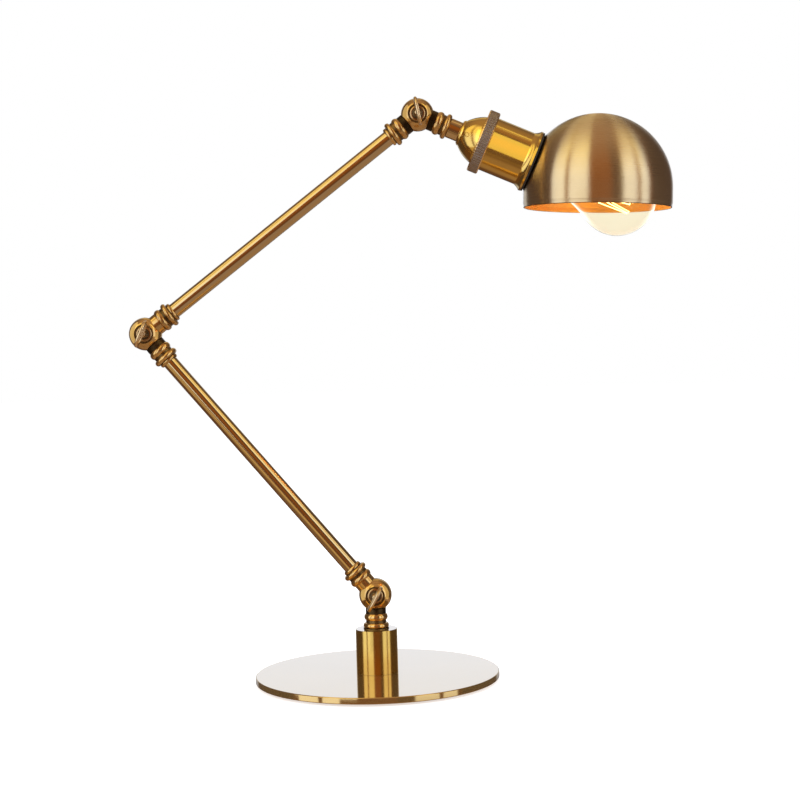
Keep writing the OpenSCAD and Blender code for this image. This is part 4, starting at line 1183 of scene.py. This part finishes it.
corner = calc("MULTIPLY", ramp(lean_azimuth, -36, -33), between(height, -20, -14.2, 0.4))
foot_end = calc("MULTIPLY", ramp(lean_azimuth, -78, -76, 1.0, 0.0), ramp(height, -14.4, -13.4, 1.0, 0.0))
dark_corner = calc("MAXIMUM", corner, foot_end)
cut_top = calc("MULTIPLY", ramp(lean_azimuth, 50, 62, 1.0, 0.0), ramp(height, 40, 48))
bar_half = ramp(height, -14.4, -13.4, 2.0, 3.2)
for left_end, right_end, low, high, bar, hole in (
    (-81, -18.2, -36, 70, -53.5, dark_corner), (34.8, 79, -18, 66, 61.0, cut_top)
):
    from_bar = calc("ABSOLUTE", calc("SUBTRACT", lean_azimuth, bar))
    dark_bar = ramp(calc("SUBTRACT", from_bar, bar_half), -0.8, 0.8, 1.0, 0.0)
    lit = without(without(field(left_end, right_end, low, high), dark_bar), hole)
    colour = blend_colours(lit, colour, lamp_tone)
for left_end, right_end in ((-168, -150), (150, 168)):
    lit = calc("MULTIPLY", field(left_end, right_end, -15, 55, 3), REAR_LEVEL)
    colour = blend_colours(lit, colour, lamp_tone)
print("room: lamps")

# %% Window of the room
WINDOW_COLOUR = (1.02, 1.17, 1.46, 1)
window = calc("MULTIPLY", ramp(aside, 168, 171), between(height, 2, 24, 2.5))
colour = blend_colours(window, colour, WINDOW_COLOUR)
glow = feed(add_node(tree, "ShaderNodeEmission"), Color=colour, Strength=1.0)
feed(tree.nodes["Material Output"], Surface=glow.outputs[0])
room.data.materials.append(room_material)
print("room:", len(tree.nodes), "nodes")

# %% Lamps


def soft_lamp(name, place_at, size, power):
    """A large square lamp that looks at the middle of the object. Reflections show the room instead of it."""
    bpy.ops.object.light_add(type="AREA", location=place_at)
    lamp = bpy.context.object
    lamp.name = name
    lamp.data.size = size
    lamp.data.energy = power
    lamp.rotation_euler = (TARGET - Vector(place_at)).to_track_quat("-Z", "Y").to_euler()
    hide_from(lamp, "glossy", "camera")
    print(name, size, "m,", power, "W")


soft_lamp("left_lamp", (-1.8, -1.6, 1.3), 1.4, 22)
soft_lamp("right_lamp", (1.9, -1.4, 1.3), 1.4, 18)
soft_lamp("top_lamp", (0.1, 0.3, 2.4), 2.0, 14)

# %% [markdown]
# Two kinds of piece mirror what nothing else on the lamp does: the lampholder's cap and sleeve a warm bright
# card along their side, and the balls bright cards beside them, which draw a crescent near their left and
# right edges. Cards in the room would show in the dome too, so these are area lamps that are linked to the
# pieces that mirror them.

# %% Cards


def hang_card(name, middle, along, facing, size, colour, power, pieces):
    """A lamp that only these pieces mirror. Its first side lies along a direction, and facing points away."""
    bpy.ops.object.light_add(type="AREA", location=middle)
    card = bpy.context.object
    card.name = name
    card.data.shape = "RECTANGLE"
    card.data.size, card.data.size_y = size
    card.data.color = colour
    card.data.energy = power
    axes = Matrix((along, facing.cross(along), facing)).transposed()
    card.matrix_world = Matrix.Translation(middle) @ axes.to_4x4()
    hide_from(card, "camera", "diffuse", "transmission")
    mirrors = bpy.data.collections.new(name + "_mirrors")
    for piece in pieces:
        mirrors.objects.link(bpy.data.objects[piece])
    card.light_linking.receiver_collection = mirrors
    print(name, "for", len(pieces), "pieces")
    return card


# %% Card for the lampholder
HOLDER_MIDDLE = 62
CARD_DISTANCE, CARD_LENGTH, CARD_LOW, CARD_HIGH = 0.9, 1.6, -20, 49
CARD_COLOUR, CARD_POWER = (1.0, 0.95, 0.4), 5.0
holder_middle = HEAD_FRAME @ Vector((0, 0, HOLDER_MIDDLE * MM))


def card_edge(angle):
    """The middle of a card's edge, at an angle up from the line to the camera."""
    turn = math.radians(angle)
    away = towards(HEAD_ANGLE + 90) * math.sin(turn) + Vector((0, -math.cos(turn), 0))
    return holder_middle + CARD_DISTANCE * away


low_edge, high_edge = card_edge(CARD_LOW), card_edge(CARD_HIGH)
upwards = (high_edge - low_edge).normalized()
hang_card("holder_card", (low_edge + high_edge) / 2, head_axis, head_axis.cross(upwards),
          (CARD_LENGTH, (high_edge - low_edge).length), CARD_COLOUR, CARD_POWER, ("cap_skin", "sleeve_skin"))

# %% Cards for the balls
BALL_CARD_DISTANCE, BALL_CARD_LOW, BALL_CARD_HIGH = 1.5, -30, 50
BALLS = [node + "_ball" for _, node, *_ in KNUCKLES]
bottom = BALL_CARD_DISTANCE * math.tan(math.radians(BALL_CARD_LOW))
top = BALL_CARD_DISTANCE * math.tan(math.radians(BALL_CARD_HIGH))
for name, middle_azimuth, half_width, colour, power in (
    ("left_ball_card", -103, 22, (0.95, 0.97, 0.75), 8.5),
    ("right_ball_card", 95, 16, (0.95, 0.9, 0.62), 4.8),
):
    turn = math.radians(middle_azimuth)
    away = Vector((math.sin(turn), -math.cos(turn), 0))
    middle = TARGET + BALL_CARD_DISTANCE * away + Vector((0, 0, (bottom + top) / 2))
    width = 2 * BALL_CARD_DISTANCE * math.tan(math.radians(half_width))
    card = hang_card(name, middle, Vector((0, 0, 1)).cross(away), away, (width, top - bottom), colour, power,
                     BALLS)
    card.data.use_shadow = False

# %% [markdown]
# The bulb is on, so a small warm lamp sits in the globe. It rides with the bulb and lights the inside of the
# shade. Neither the camera nor the glass shows it: what shines there is the wire.

# %% Light of the bulb
BULB_POWER, BULB_COLOUR, BULB_LIGHT_R = 0.095, (1.0, 0.78, 0.5), 0.012
bpy.ops.object.light_add(type="POINT", location=HEAD_FRAME @ Vector((0, 0, GLOBE_Z * MM)))
bulb_light = bpy.context.object
bulb_light.name = "bulb_light"
bulb_light.data.energy = BULB_POWER
bulb_light.data.color = BULB_COLOUR
bulb_light.data.shadow_soft_size = BULB_LIGHT_R
hide_from(bulb_light, "camera", "glossy", "transmission")
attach(bulb_light, "bulb")
print("bulb light at", [round(v, 3) for v in bulb_light.location])
